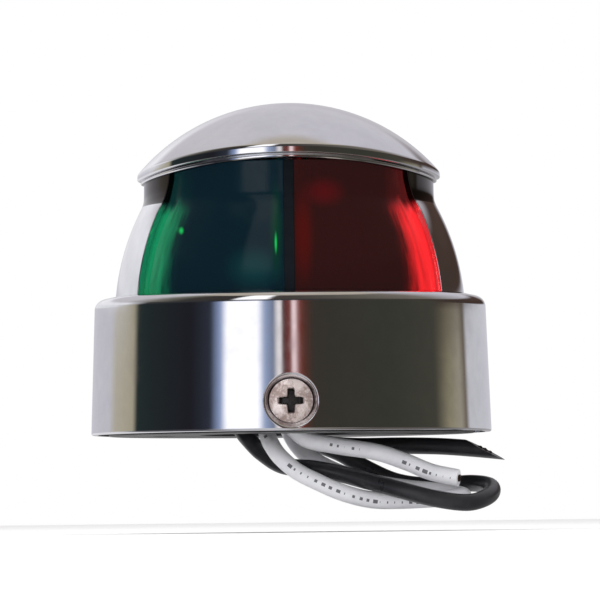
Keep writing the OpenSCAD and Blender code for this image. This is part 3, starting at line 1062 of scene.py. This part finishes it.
@dataclass
class Leads:
    """The two supply leads, folded under the base, with their bare strand ends."""

    diameter: float = 3.0
    skin: float = 0.03
    steps: int = 8
    sides: int = 24
    strand: float = 0.24
    strand_ring: float = 0.42
    bare: float = 0.3
    short_slant: float = 0.3
    long_slant: float = 7.5
    rooted: float = 0.4
    white: tuple[tuple[float, float, float], ...] = (
        (-4.4, 2.6, 16.5), (-4.4, 2.6, 13.5), (-4.4, 2.6, 10.5), (-4.4, 2.5, 7.5), (-4.4, 1.2, 4),
        (-4.4, -2.2, 1.2), (-4.1, -6.6, -0.3), (-3.5, -10.4, -1.8), (-2, -13.2, -4), (0.7, -14.7, -6.4),
        (4.4, -15.6, -8.4), (9, -15.6, -10.4), (14, -13.8, -11.6), (19.5, -12.6, -11.7),
        (24.6, -11.4, -11.5), (28.4, -9, -11.3), (29.6, -5.2, -10.9), (26, -2.6, -10.2), (19, -3, -9.4),
        (12, -4, -8), (6.4, -3.5, -5.9), (2, -1.8, -3), (-0.3, -0.9, 0.4), (-1, -3.2, 3.4),
        (-0.9, -7, 4.1), (-0.2, -10.2, 1.9), (2.4, -11.8, -0.9), (7.4, -12, -2.1), (14.5, -12.4, -3.3),
        (19.5, -12.8, -5), (24, -13.4, -6.9), (28.8, -14.8, -8),
    )
    black: tuple[tuple[float, float, float], ...] = (
        (-9.6, 2.6, 16.5), (-9.6, 2.6, 13.5), (-9.6, 2.6, 10.5), (-9.6, 2.5, 7.5), (-9.5, 1, 4),
        (-8.7, -2.4, 1), (-7.2, -4.8, -1.1), (-4.9, -6.1, -3.4), (-1.4, -8.4, -5.5), (4, -11.2, -6.1),
        (9, -12.8, -7.2), (14, -14.9, -8.6), (19.5, -17.2, -10.2), (25, -18.2, -11.6), (30.4, -16.8, -12.2),
        (34, -12.4, -11), (34.4, -6.4, -9.4), (31, -0.6, -8.8), (25, 1.8, -9.2), (18.5, 1.4, -8.4),
        (13, 0, -6), (8.8, -0.6, -3.5), (5.4, 1, -2), (4.8, 4.6, -1.7), (7.6, 7.2, -1.8),
        (12.4, 8, -2), (19, 7.2, -2), (26, 5.8, -2.2), (32, 4.2, -2.7), (37.5, 2.4, -3.3),
    )
    grommet_z: float = 8.3

    def build(self, finishes: Finishes) -> None:
        self.lead("white", self.white, self.short_slant, finishes.white_cover, finishes.copper)
        self.lead("black", self.black, self.long_slant, finishes.black_cover, finishes.copper)

    def lead(self, colour: str, route: tuple[tuple[float, float, float], ...], slant: float,
             cover: bpy.types.Material, copper: bpy.types.Material) -> None:
        """Makes one lead with its strands.

        Args:
            colour: the lead's name.
            route: the points that it passes through, in mm.
            slant: slant of its cut end, in mm.
            cover: finish of the insulation.
            copper: finish of the strands.
        """
        path = smooth_path(list(route), self.steps)
        name = f"{colour}_insulation"
        tube = tube_piece(name, path, self.diameter / 2 - self.skin, self.sides, slant)
        piece = settled(tube, Body.BASE, name, cover, f"{colour}_lead")
        strands = settled(self.strands(f"{colour}_strands", path, slant), Body.BASE, "copper", copper,
                          f"{colour}_lead_core")

    def strands(self, name: str, path: np.ndarray, slant: float) -> bpy.types.Object:
        """Seven round strands that stand out of a lead's cut end.

        One is on the lead's axis and six are round it. Each is a short closed rod that starts
        a little inside the cut, which is slant (1 + h) / 2 short of the path's end at height h.

        Args:
            name: the piece's name.
            path: the lead's centre line, in mm.
            slant: slant of its cut end, in mm.

        Returns:
            The piece.
        """
        across, up = path_frames(path)
        ahead = path[-1] - path[-2]
        ahead /= np.linalg.norm(ahead)
        turn = np.arange(6) * TAU / 6
        around = np.cos(turn)[:, None] * across[-1] + np.sin(turn)[:, None] * up[-1]
        aside = np.vstack([np.zeros(3), self.strand_ring * around])
        short = slant * (0.5 + 0.5 * aside[:, 2:] / (self.diameter / 2 - self.skin)) + self.rooted
        starts = path[-1] + aside - short * ahead
        rim = np.arange(10) * TAU / 10
        ring = self.strand * 0.9 * (np.cos(rim)[:, None] * across[-1] + np.sin(rim)[:, None] * up[-1])
        reach = np.array([0.0, 0.0, 0.94, 1.0, 1.0]) * (self.bare + self.rooted)
        spread = np.array([0.0, 1.0, 1.0, 0.75, 0.0])
        rows = reach[:, None, None] * ahead + spread[:, None, None] * ring[None]
        parts = [((start + rows).reshape(-1, 3), grid_faces(5, 10, wrap_cols=True)) for start in starts]
        points, faces = joined(parts)
        return mesh_piece(name, points, faces, 40.0)


# ---------------------------------------------------------------------------- the cover


@dataclass
class Hood:
    """Plated hood: a domed cap with an arched brim, a neck, and walls round one wide window."""

    apex_z: float = 58.08
    dome_side_r: float = 34.5
    dome_front_r: float = 43.6
    brim_r: float = 26.5
    lip_r: float = 25.95
    neck_r: float = 25.4
    wall: float = 1.2
    side_centre: tuple[float, float] = (-10.0, 20.5)
    side_r: float = 40.7
    bottom_z: float = 21.7
    flange: tuple[float, float, float] = (32.5, 21.7, 22.55)
    window_deg: float = 59.4
    corner_deg: float = 5.0
    arch_side_z: float = 44.0
    arch_front_z: float = 46.9
    brim_round: float = 0.9
    groove: float = 0.3

    def dome_z(self, x: np.ndarray, y: np.ndarray, inward: float = 0.0) -> np.ndarray:
        """Height of the dome: an arc from side to side, turned about a lower cross axis."""
        side = np.sqrt((self.dome_side_r - inward) ** 2 - x**2)
        offset = self.dome_front_r - self.dome_side_r
        return self.apex_z - self.dome_front_r + np.sqrt((offset + side) ** 2 - y**2)

    def arch_z(self, x: np.ndarray) -> np.ndarray:
        """Height of the brim's underside: a shallow arc from side to side."""
        rise = self.arch_front_z - self.arch_side_z
        radius = (self.brim_r**2 + rise**2) / (2 * rise)
        return self.arch_front_z - radius + np.sqrt(radius**2 - x**2)

    def side_radius(self, z: np.ndarray, inward: float = 0.0) -> np.ndarray:
        """Radius of the hood's side at a height: a round arc that stops at the straight neck."""
        r0, z0 = self.side_centre
        arc = r0 + np.sqrt((self.side_r - inward) ** 2 - np.clip(z - z0, 0, self.side_r - 6.0) ** 2)
        neck = self.neck_r - inward
        soft = 0.35
        return neck + 0.5 * (arc - neck + np.sqrt((arc - neck) ** 2 + soft**2)) - soft * 0.12

    def build(self, finishes: Finishes) -> None:
        """Makes the hood as one piece of cap, wall and flange."""
        points, faces = joined([self.cap(), self.side_wall(), self.foot()])
        piece = mesh_piece("hood_shell", points, faces, 32.0)
        settled(bevelled(piece, 0.22, 3, 50.0), Body.COVER, "chrome", finishes.plated, "hood")

    def cap(self) -> tuple[np.ndarray, np.ndarray]:
        """Closed cap: dome, rounded brim, a groove, a lip, and the hollow inside.

        Rows follow the section from the apex outside, round the brim and back to the apex
        inside. The brim's band is shared between brim and lip in the same part all round.

        Returns:
            Points and quads.
        """
        angle = np.arange(240) * TAU / 240
        turn = np.linspace(math.radians(45), math.radians(90), 6)
        edge_r = self.brim_r - self.brim_round * (1 - np.sin(turn))
        fall = self.brim_round * (math.cos(math.radians(45)) - np.cos(turn))
        outer_r = edge_r[0] * np.sin(np.linspace(0, math.pi / 2, 30))

        def dome_rows(radii: np.ndarray, inward: float) -> np.ndarray:
            """Rows of the dome at these distances from the axis."""
            x, y = radii[:, None] * np.sin(angle), -radii[:, None] * np.cos(angle)
            return turned(radii[:, None], self.dome_z(x, y, inward), angle)

        low = self.arch_z(self.brim_r * np.sin(angle))
        top = self.dome_z(edge_r[0] * np.sin(angle), -edge_r[0] * np.cos(angle))
        rounded = turned(edge_r[1:, None], top[None] - fall[1:, None], angle)
        high = rounded[-1, :, 2]
        split = low + 0.4 * (high - low)
        gap = self.groove
        band = [
            (self.brim_r, split + 0.25), (self.brim_r - 0.12, split + 0.08), (self.brim_r - gap, split),
            (self.lip_r - 0.25, split - 0.02), (self.lip_r - 0.2, split - 0.16), (self.lip_r, split - 0.26),
            (self.lip_r, low + 0.16), (self.lip_r - 0.14, low), (self.neck_r - self.wall, low),
        ]
        section = np.stack([turned(np.full_like(angle, r), z, angle) for r, z in band])
        inner_r = (self.neck_r - self.wall) * np.sin(np.linspace(math.pi / 2, 0, 16))
        rows = np.concatenate([dome_rows(outer_r, 0.0), rounded, section, dome_rows(inner_r, self.wall)])
        return rows.reshape(-1, 3), grid_faces(len(rows), len(angle), wrap_cols=True)

    def side_wall(self) -> tuple[np.ndarray, np.ndarray]:
        """Wall from one jamb of the window, round the back, to the other.

        The window's half angle eases inwards near its upper corners.

        Returns:
            Points and quads.
        """
        t = np.linspace(0, 1, 44)[:, None]
        u = np.linspace(0, 1, 150)[None, :]
        z = self.bottom_z + t * (self.arch_side_z + 0.8 - self.bottom_z)
        jamb = np.radians(self.window_deg - self.corner_deg * smooth_step(37.5, 44.0, z))
        angle = jamb + u * (TAU - 2 * jamb)
        reach = self.arch_z(np.sin(angle) * self.neck_r) + 0.6
        z = self.bottom_z + t * (reach - self.bottom_z)
        outer = turned(self.side_radius(z), z, angle)
        inner = turned(self.side_radius(z, self.wall), z, angle)
        return shell_mesh(outer, inner, wrap=False)

    def foot(self) -> tuple[np.ndarray, np.ndarray]:
        """Flange under the wall, hidden by the skirt ring."""
        r, z0, z1 = self.flange
        inside = self.side_radius(np.array(z0), self.wall)
        profile = np.array([[inside, z0], [r, z0], [r, z1], [inside + self.wall, z1], [inside, z1 + 0.1]])
        return turned_loop(profile, 180)


@dataclass
class SkirtRing:
    """Plated drop-over ring with a rounded shoulder, a turned-in lip and a dimple for the screw."""

    foot_r: float = 34.98
    shoulder_r: float = 34.2
    bottom_z: float = 0.2
    top_z: float = 24.2
    sheet: float = 1.1
    fillet: float = 1.9
    lip_r: float = 30.8
    hem: float = 0.35
    screw_z: float = 5.2
    dimple_r: float = 4.7
    seat_r: float = 2.3

    def section(self) -> tuple[np.ndarray, np.ndarray]:
        """Outer and inner outlines, as radius and height, with the same number of points.

        From the hem up: a quarter round, the leaning wall, the shoulder's arc and the flat lip.

        Returns:
            The two outlines, each of shape (n, 2).
        """
        turn = np.linspace(-math.pi / 2, 0, 7)[:-1]
        hem = np.stack([self.foot_r - self.hem + self.hem * np.cos(turn),
                        self.bottom_z + self.hem + self.hem * np.sin(turn)], axis=1)
        dense = np.linspace(self.bottom_z + self.hem, self.screw_z + self.dimple_r + 0.6, 72)
        plain = np.linspace(dense[-1], self.top_z - 0.3 - self.fillet, 10)[1:]
        z = np.concatenate([dense, plain])
        lean = (self.foot_r - self.shoulder_r) / (self.top_z - 0.3 - self.fillet - self.bottom_z)
        wall = np.stack([self.foot_r - lean * (z - self.bottom_z - self.hem), z], axis=1)
        turn = np.linspace(0, math.radians(84), 14)[1:]
        centre = np.array([wall[-1, 0] - self.fillet, wall[-1, 1]])
        bend = np.stack([np.cos(turn), np.sin(turn)], axis=1)
        arc = centre + self.fillet * bend
        lip = np.array([[self.lip_r + 0.35, self.top_z], [self.lip_r + 0.1, self.top_z - 0.12],
                        [self.lip_r, self.top_z - 0.45]])
        outer = np.concatenate([hem, wall, arc, lip])
        under = np.concatenate([
            np.stack([np.full(len(hem), self.foot_r - self.sheet),
                      np.linspace(self.bottom_z, self.bottom_z + self.hem, len(hem))], axis=1),
            wall - [self.sheet, 0.0], centre + (self.fillet - self.sheet) * bend,
            np.array([[self.lip_r + 0.6, self.top_z - self.sheet],
                      [self.lip_r + 0.1, self.top_z - self.sheet],
                      [self.lip_r, self.top_z - self.sheet + 0.15]]),
        ])
        return outer, under

    def pressed(self, points: np.ndarray) -> np.ndarray:
        """Pushes the front in under the screw's head.

        The depth is a cone that reaches its full depth at the seat's radius, with an eased rim.

        Args:
            points: grid of points, in mm.

        Returns:
            The moved grid.
        """
        away = np.hypot(points[..., 0], points[..., 2] - self.screw_z)
        slope = np.clip(self.dimple_r - np.maximum(away, self.seat_r), 0.0, None)
        eased = slope * smooth_step(0.0, 0.55, slope)
        front = points[..., 1] < 0
        moved = points.copy()
        moved[..., 1] += np.where(front, eased, 0.0)
        return moved

    def build(self, finishes: Finishes) -> None:
        """Makes the ring, with narrow steps round the dimple and wide ones elsewhere."""
        near = math.radians(9.5)
        angle = np.concatenate([np.linspace(-near, near, 90, endpoint=False),
                                np.linspace(near, TAU - near, 190, endpoint=False)])
        outer, inner = (
            self.pressed(turned(line[:, :1], line[:, 1:], angle[None, :])) for line in self.section()
        )
        piece = shell_piece("skirt_ring_shell", outer, inner, wrap=True, sharp_deg=50.0)
        settled(piece, Body.COVER, "chrome", finishes.plated, "skirt_ring")


@dataclass
class LensPair:
    """The two tinted halves behind the window, and the opaque divider between them."""

    bottom_z: float = 22.3
    top_z: float = 46.6
    thick: float = 2.0
    gap: float = 0.05
    reach_deg: float = 65.0
    divider: float = 1.8
    flutes: int = 15
    flute_depth: float = 0.16

    def build(self, hood: Hood, finishes: Finishes) -> None:
        """Makes both halves, the divider, the seal and the clamping ring."""
        self.half(Side.GREEN, hood, finishes.green)
        self.half(Side.RED, hood, finishes.red)
        settled(cad_copy("lens_divider", "divider_wall", 0.15), Body.COVER, "black_plastic",
                finishes.divider, "lens_divider")
        settled(cad_copy("lens_seal", "seal_ring", 0.1), Body.COVER, "rubber", finishes.rubber, "lens_seal")
        settled(cad_copy("lens_retainer", "clamping_ring", 0.2), Body.COVER, "steel", finishes.steel,
                "lens_retainer")
        settled(cad_copy("retainer_screws", "clamping_screws", 0.1), Body.COVER, "steel", finishes.steel,
                "retainer_screws")

    def half(self, side: Side, hood: Hood, finish: bpy.types.Material) -> None:
        """Makes one half: the hood's inner outline swept from the divider to past the window.

        Its inside has shallow upright flutes, a cosine of the angle.

        Args:
            side: which half.
            hood: the hood that it sits in.
            finish: its material.
        """
        z = np.linspace(self.bottom_z, self.top_z, 40)[:, None]
        u = np.linspace(0, 1, 96)[None, :]
        skins = []
        for inward in (hood.wall + self.gap, hood.wall + self.gap + self.thick):
            radius = hood.side_radius(z, inward)
            start = np.arcsin(self.divider / 2 / radius)
            angle = start + u * (math.radians(self.reach_deg) - start)
            inner = inward > hood.wall + self.thick
            ripple = self.flute_depth * (0.5 - 0.5 * np.cos(angle * 360 / self.flutes * 2)) if inner else 0.0
            skins.append(turned(radius - ripple, z, side.value * angle))
        name = "green_lens_half" if side is Side.GREEN else "red_lens_half"
        node = "green_lens" if side is Side.GREEN else "red_lens"
        piece = shell_piece(name, skins[0], skins[1], sharp_deg=40.0)
        settled(bevelled(piece, 0.15, 2, 60.0), Body.COVER, node, finish, node)


@dataclass
class FrontScrew:
    """Raised countersunk cross-head screw, and the square nut that it turns in."""

    z: float = 5.2
    face_y: float = -34.05
    head_r: float = 3.7
    shank_r: float = 1.98
    dome_r: float = 9.55
    length: float = 10.0
    pitch: float = 0.7
    cross_half: float = 2.35
    cross_width: float = 0.62
    cross_depth: float = 1.35
    sides: int = 144

    def build(self, finishes: Finishes) -> None:
        """Makes the screw and the nut."""
        settled(self.screw(), Body.SCREW, "steel", finishes.screw, "retaining_screw")
        settled(cad_copy("clamp_nut", "square_nut", 0.3), Body.NUT, "steel", finishes.steel, "clamp_nut")

    def head_height(self, u: np.ndarray, v: np.ndarray) -> np.ndarray:
        """How far the head's face stands out at (u, v): a low dome less the cross recess.

        Each arm of the recess narrows and grows shallower outwards.

        Args:
            u: distance across the face, in mm.
            v: distance up the face, in mm.

        Returns:
            Height in mm.
        """
        dome = np.sqrt(self.dome_r**2 - u**2 - v**2) - math.sqrt(self.dome_r**2 - self.head_r**2)

        def arm(along: np.ndarray, across: np.ndarray) -> np.ndarray:
            """Depth share of one arm: full within its width, eased at its flanks and its end."""
            far = np.abs(along)
            width = self.cross_width * (1 - 0.22 * far / self.cross_half)
            flank = smooth_step(0.16, -0.1, np.abs(across) - width)
            floor = smooth_step(self.cross_half + 0.1, self.cross_half - 0.9, far)
            return flank * floor

        core = smooth_step(1.25, 0.75, np.hypot(u, v))
        recess = np.maximum(np.maximum(arm(u, v), arm(v, u)), core)
        return dome - self.cross_depth * recess

    def screw(self) -> bpy.types.Object:
        """Screw as one turned surface: face, rim, cone, threaded shank and point."""
        turn = np.arange(self.sides) * TAU / self.sides
        rings = np.linspace(0, 1, 46)[:, None] * self.head_r * 0.985
        u, v = rings * np.cos(turn), rings * np.sin(turn)
        face = np.stack([u, self.face_y - self.head_height(u, v), self.z + v], axis=-1)
        neck_y = self.face_y + self.head_r - self.shank_r
        run = np.arange(neck_y + 0.2, self.face_y + self.length - 0.5, 0.07)
        groove = 0.5 - 0.5 * np.cos(TAU * (run[:, None] / self.pitch) - turn[None, :])
        thread = self.shank_r - 0.28 * groove**1.6
        rim_r = np.array([self.head_r, self.head_r, self.shank_r])
        rim_y = np.array([self.face_y, self.face_y + 0.12, neck_y])
        tip_r, tip_y = np.array([1.5, 0.0]), np.full(2, self.face_y + self.length)
        rim, tip = (np.repeat(r[:, None], self.sides, 1) for r in (rim_r, tip_r))
        radius = np.concatenate([rim, thread, tip])
        reach = np.concatenate([rim_y, run, tip_y])[:, None]
        body = np.stack([radius * np.cos(turn), np.broadcast_to(reach, radius.shape),
                         self.z + radius * np.sin(turn)], axis=-1)
        rows = np.concatenate([face, body])
        faces = grid_faces(len(rows), self.sides, wrap_cols=True)
        return mesh_piece("cross_head_screw", rows.reshape(-1, 3), faces, 38.0)


# ---------------------------------------------------------------------------- base and lamp


@dataclass
class Base:
    """Black base with its gasket, grommet, lamp post, contacts, rivets and crimp barrels."""

    small_edge: float = 0.12
    edge: float = 0.3

    def build(self, finishes: Finishes) -> None:
        """Dresses the base's solids as rounded copies."""
        plan = (
            ("base_plate", "base_moulding", self.edge, "black_plastic", finishes.black),
            ("base_gasket", "gasket_sheet", 0.2, "rubber", finishes.rubber),
            ("wire_grommet", "lead_grommet", self.edge, "rubber", finishes.rubber),
            ("lamp_post", "post_board", self.small_edge, "phenolic", finishes.board),
            ("lower_contact", "lower_spring", self.small_edge, "brass", finishes.brass),
            ("upper_contact", "upper_spring", self.small_edge, "brass", finishes.brass),
            ("contact_rivets", "rivet_heads", self.small_edge, "steel", finishes.steel),
            ("wire_terminals", "crimp_barrels", self.small_edge, "brass", finishes.brass),
        )
        for node, name, width, slot, finish in plan:
            settled(cad_copy(node, name, width), Body.BASE, slot, finish, node)


@dataclass
class Lamp:
    """Festoon lamp: glass tube, end caps and a coiled filament on two stays."""

    low_z: float = 20.0
    high_z: float = 51.0
    cap: float = 5.6
    neck: float = 3.15
    bulge: float = 5.0
    glass: float = 0.35
    coil_r: float = 0.55
    coil_turns: int = 22
    coil_half: float = 4.6
    stay_half: float = 9.5
    wire: float = 0.09

    def build(self, finishes: Finishes) -> None:
        """Makes the lamp's three pieces."""
        settled(self.envelope(), Body.BASE, "lamp_glass", finishes.glass, "lamp_glass")
        settled(cad_copy("lamp_caps", "lamp_end_caps", 0.2), Body.BASE, "steel", finishes.steel, "lamp_caps")
        settled(self.filament(), Body.BASE, "filament", finishes.tungsten, "lamp_filament")

    def envelope(self) -> bpy.types.Object:
        """Thin glass wall whose radius swells as the root of a cosine between the caps."""
        middle = (self.low_z + self.high_z) / 2
        half = (self.high_z - self.low_z) / 2 - self.cap
        t = np.sin(np.linspace(-math.pi / 2, math.pi / 2, 40))[:, None]
        swell = np.sqrt(np.clip(np.cos(t * math.pi / 2), 0.0, None))
        angle = (np.arange(72) * TAU / 72)[None, :]
        radius = self.neck + (self.bulge - self.neck) * swell
        z = middle + half * t
        return shell_piece("lamp_envelope", turned(radius, z, angle), turned(radius - self.glass, z, angle),
                           wrap=True, sharp_deg=60.0)

    def filament(self) -> bpy.types.Object:
        """Fine coil on the lamp's axis between two straight stays, as one tube."""
        middle = (self.low_z + self.high_z) / 2
        end = self.stay_half
        t = np.linspace(0, 1, self.coil_turns * 12)
        coil = np.stack([self.coil_r * np.cos(TAU * self.coil_turns * t),
                         self.coil_r * np.sin(TAU * self.coil_turns * t),
                         middle - self.coil_half + 2 * self.coil_half * t], axis=1)
        low = np.array([[0.0, 0.0, middle - end], [0.1, 0.0, middle - end + 2.0],
                        [0.4, -0.1, middle - self.coil_half - 0.6]])
        high = np.array([[0.4, 0.1, middle + self.coil_half + 0.6], [0.1, 0.0, middle + end - 2.0],
                         [0.0, 0.0, middle + end]])
        path = np.vstack([low, coil, high])
        return tube_piece("coiled_filament", path, self.wire, 6)


# ---------------------------------------------------------------------------- the studio


@dataclass
class Studio:
    """Pale floor, soft light and the camera."""

    distance: float = 900.0
    camera_z: float = -14.9
    aim: tuple[float, float] = (1.75, 23.6)
    frame_width: float = 105.0
    roll_deg: float = 0.65
    floor_z: float = -17.0
    floor_half: float = 4000.0
    sensor: float = 36.0
    clip: tuple[float, float] = (0.01, 50.0)
    ground_deg: tuple[float, float] = (-0.4, -1.6)
    middle_z: float = 20.0

    def build(self) -> None:
        """Sets the view, the sky, the light and the floor."""
        self.camera()
        self.sky()
        self.light()
        self.floor()
        bpy.context.scene.view_settings.view_transform = "Standard"

    def camera(self) -> None:
        """Long lens from dead ahead, a little below the mounting face."""
        data = bpy.data.cameras.new("camera")
        data.sensor_width = self.sensor
        data.lens = self.sensor * self.distance / self.frame_width
        data.clip_start, data.clip_end = self.clip
        camera = bpy.data.objects.new("camera", data)
        bpy.context.scene.collection.objects.link(camera)
        across = math.atan2(self.aim[0], self.distance)
        up = math.atan2(self.aim[1] - self.camera_z, self.distance)
        camera.rotation_mode = "QUATERNION"
        look = Vector((math.sin(across) * math.cos(up), math.cos(across) * math.cos(up), math.sin(up)))
        camera.location = (0.0, -self.distance * MM, self.camera_z * MM)
        camera.rotation_quaternion = look.to_track_quat("-Z", "Y")
        camera.rotation_mode = "XYZ"
        camera.rotation_euler.rotate_axis("Z", math.radians(-self.roll_deg))
        bpy.context.scene.camera = camera

    def sky(self) -> None:
        """Room that polished metal mirrors: a banded horizon under a bright ceiling.

        Angle round and height of a direction pick a colour from bands that lie one above
        another. Diffuse light and the plain background are an even white.
        """
        world = bpy.data.worlds.new("studio")
        bpy.context.scene.world = world
        world.use_nodes = True
        world.node_tree.nodes.clear()
        wires = Wiring(world.node_tree)
        place = wires.place("Generated")
        ahead = wires.math("MULTIPLY", place.outputs["Y"], -1.0)
        round_turn = wires.math("ARCTAN2", place.outputs["X"], ahead)
        turn = wires.math("MULTIPLY_ADD", round_turn, 1.0 / TAU, 0.5)
        rise = wires.math("MULTIPLY", wires.math("ARCSINE", place.outputs["Z"]), 360.0 / TAU)
        colour = wires.ramp(turn, banded(HORIZON))
        for start, end, band in LAYERS:
            above = wires.ramp(turn, banded(band))
            colour = wires.mix(wires.eased(rise, start, end), colour, above)
        for start, end, tone in CEILING:
            colour = wires.mix(wires.eased(rise, start, end), colour, (*tone, 1.0))
        below = wires.eased(rise, *self.ground_deg)
        colour = wires.mix(below, colour, wires.ramp(turn, banded(BELOW)))
        path = wires.add("LightPath")
        plain = wires.math("MAXIMUM", path.outputs["Is Camera Ray"], path.outputs["Is Diffuse Ray"])
        colour = wires.mix(plain, colour, (1.0, 1.0, 1.0, 1.0))
        background = wires.add("Background")
        wires.join(colour, background.inputs["Color"])
        wires.join(background.outputs[0], wires.add("OutputWorld").inputs["Surface"])

    def light(self) -> None:
        """One tall soft box on the left of the camera and a wide one overhead."""
        self.soft_box("key box", (-27.0, 5.0), 1400.0, (480.0, 330.0), 5.0)
        self.soft_box("top box", (-40.0, 62.0), 1200.0, (600.0, 600.0), 6.0)

    def soft_box(self, name: str, aim_deg: tuple[float, float], away: float, size: tuple[float, float],
                 watts: float) -> None:
        """A rectangular area light that faces the light's middle.

        Args:
            name: the light's name.
            aim_deg: its angle from dead ahead and its height angle, in degrees.
            away: its distance, in mm.
            size: width and height, in mm.
            watts: its power.
        """
        data = bpy.data.lights.new(name, "AREA")
        data.shape = "RECTANGLE"
        data.size, data.size_y = size[0] * MM, size[1] * MM
        data.energy = watts
        box = bpy.data.objects.new(name, data)
        bpy.context.scene.collection.objects.link(box)
        box.visible_glossy = False
        a, e = (math.radians(v) for v in aim_deg)
        way = Vector((math.sin(a) * math.cos(e), -math.cos(a) * math.cos(e), math.sin(e)))
        box.location = way * away * MM + Vector((0, 0, self.middle_z * MM))
        box.rotation_mode = "QUATERNION"
        box.rotation_quaternion = way.to_track_quat("Z", "Y")

    def floor(self) -> None:
        """Plain pale floor just under the leads."""
        half = self.floor_half
        corners = np.array([[-half, -half, self.floor_z], [half, -half, self.floor_z],
                            [half, half, self.floor_z], [-half, half, self.floor_z]])
        floor = mesh_piece("floor", corners, np.array([[0, 1, 2, 3]]))
        material, wires, shader = started("pale floor")
        noise = wires.add("TexNoise", Scale_in=3.0, Detail_in=2.0)
        wires.join(wires.mix(noise.outputs["Fac"], (0.9, 0.9, 0.9, 1.0), (0.93, 0.93, 0.93, 1.0)),
                   shader.inputs["Base Color"])
        shader.inputs["Roughness"].default_value = 0.85
        floor.data.materials.append(material)
        floor.visible_glossy = False


# angle from dead ahead in degrees, and the colour there; each band lies above the one before
FRONT: Band = (
    (-100, (0.02, 0.03, 0.03)), (-60, (0.015, 0.015, 0.02)), (-47, (0.03, 0.035, 0.05)),
    (-41, (0.3, 0.38, 0.6)), (-37, (1.3, 1.3, 1.35)), (-19, (1.3, 1.3, 1.35)), (-15, (0.34, 0.42, 0.62)),
    (-9, (0.16, 0.19, 0.27)), (-8, (0.9, 0.85, 0.85)), (-5.5, (0.9, 0.85, 0.85)), (-4.5, (0.07, 0.03, 0.03)),
    (0.2, (0.2, 0.035, 0.025)), (1, (1.0, 0.8, 0.8)), (3.4, (1.0, 0.75, 0.75)), (4.4, (0.22, 0.04, 0.025)),
    (8, (0.1, 0.035, 0.025)), (13, (0.045, 0.04, 0.032)), (60, (0.045, 0.046, 0.036)),
    (92, (0.06, 0.058, 0.045)),
)
HORIZON: Band = (
    (-180, (0.62, 0.61, 0.67)), (-130, (0.6, 0.59, 0.63)), (-122, (0.5, 0.46, 0.37)),
    (-104, (0.42, 0.38, 0.28)), *FRONT, (104, (0.3, 0.27, 0.18)), (115, (0.36, 0.33, 0.26)),
    (121, (0.16, 0.13, 0.1)), (125, (0.6, 0.6, 0.63)), (180, (0.62, 0.61, 0.67)),
)
LOW: Band = (
    (-180, (0.6, 0.58, 0.62)), (-168, (0.85, 0.85, 0.88)), (-126, (0.8, 0.8, 0.84)),
    (-104, (0.42, 0.38, 0.28)), *FRONT, (100, (0.06, 0.045, 0.036)), (162, (0.06, 0.038, 0.03)),
    (171, (0.55, 0.53, 0.56)), (180, (0.6, 0.58, 0.62)),
)
MIDDLE: Band = (
    (-180, (0.6, 0.58, 0.62)), (-165, (0.95, 0.95, 0.98)), (-115, (0.9, 0.9, 0.93)),
    (-95, (0.05, 0.05, 0.05)), (-36, (0.03, 0.03, 0.035)), (-32, (0.12, 0.13, 0.17)),
    (-18, (0.12, 0.13, 0.17)), (-14, (0.04, 0.04, 0.05)), (60, (0.06, 0.055, 0.045)),
    (115, (0.06, 0.04, 0.032)), (160, (0.08, 0.05, 0.04)), (169, (0.55, 0.53, 0.56)),
    (180, (0.6, 0.58, 0.62)),
)
HIGH: Band = (
    (-180, (0.64, 0.62, 0.66)), (-125, (0.62, 0.6, 0.62)), (-95, (0.2, 0.19, 0.16)),
    (-70, (0.05, 0.045, 0.04)), (-37, (0.04, 0.036, 0.034)), (-33, (1.3, 1.3, 1.3)),
    (-15, (1.3, 1.3, 1.3)), (-11, (0.06, 0.05, 0.045)),
    (50, (0.13, 0.12, 0.1)), (95, (0.2, 0.18, 0.15)), (125, (0.45, 0.43, 0.45)), (150, (0.62, 0.6, 0.65)),
    (180, (0.64, 0.62, 0.66)),
)
BELOW: Band = (
    (-180, (0.45, 0.44, 0.45)), (-166, (0.85, 0.85, 0.88)), (-120, (0.8, 0.8, 0.82)),
    (-100, (0.1, 0.1, 0.11)), (-50, (0.06, 0.06, 0.07)), (-38, (0.6, 0.62, 0.66)),
    (-12, (0.6, 0.6, 0.62)), (12, (0.3, 0.28, 0.26)), (50, (0.1, 0.09, 0.08)),
    (100, (0.12, 0.11, 0.1)), (125, (0.3, 0.29, 0.29)), (180, (0.45, 0.44, 0.45)),
)
# height angles between which each layer of the sky takes over from the one below it
LAYERS = ((3.4, 6.0, LOW), (9.0, 15.0, MIDDLE), (19.0, 26.0, HIGH))
CEILING = ((60.0, 68.0, (0.5, 0.45, 0.38)), (76.0, 86.0, (0.58, 0.55, 0.53)))


def banded(band: Band) -> list[tuple[float, Colour]]:
    """A band's stops with their angles as places from 0 to 1."""
    return [(angle / 360.0 + 0.5, colour) for angle, colour in band]


def main() -> None:
    """Builds the studio and every piece of the light."""
    logging.basicConfig(level=logging.INFO, format="%(name)s: %(message)s")
    finishes = Finishes()
    Studio().build()
    Leads().build(finishes)
    hood = Hood()
    hood.build(finishes)
    SkirtRing().build(finishes)
    LensPair().build(hood, finishes)
    FrontScrew().build(finishes)
    Base().build(finishes)
    Lamp().build(finishes)


if __name__ == "__main__":
    main()
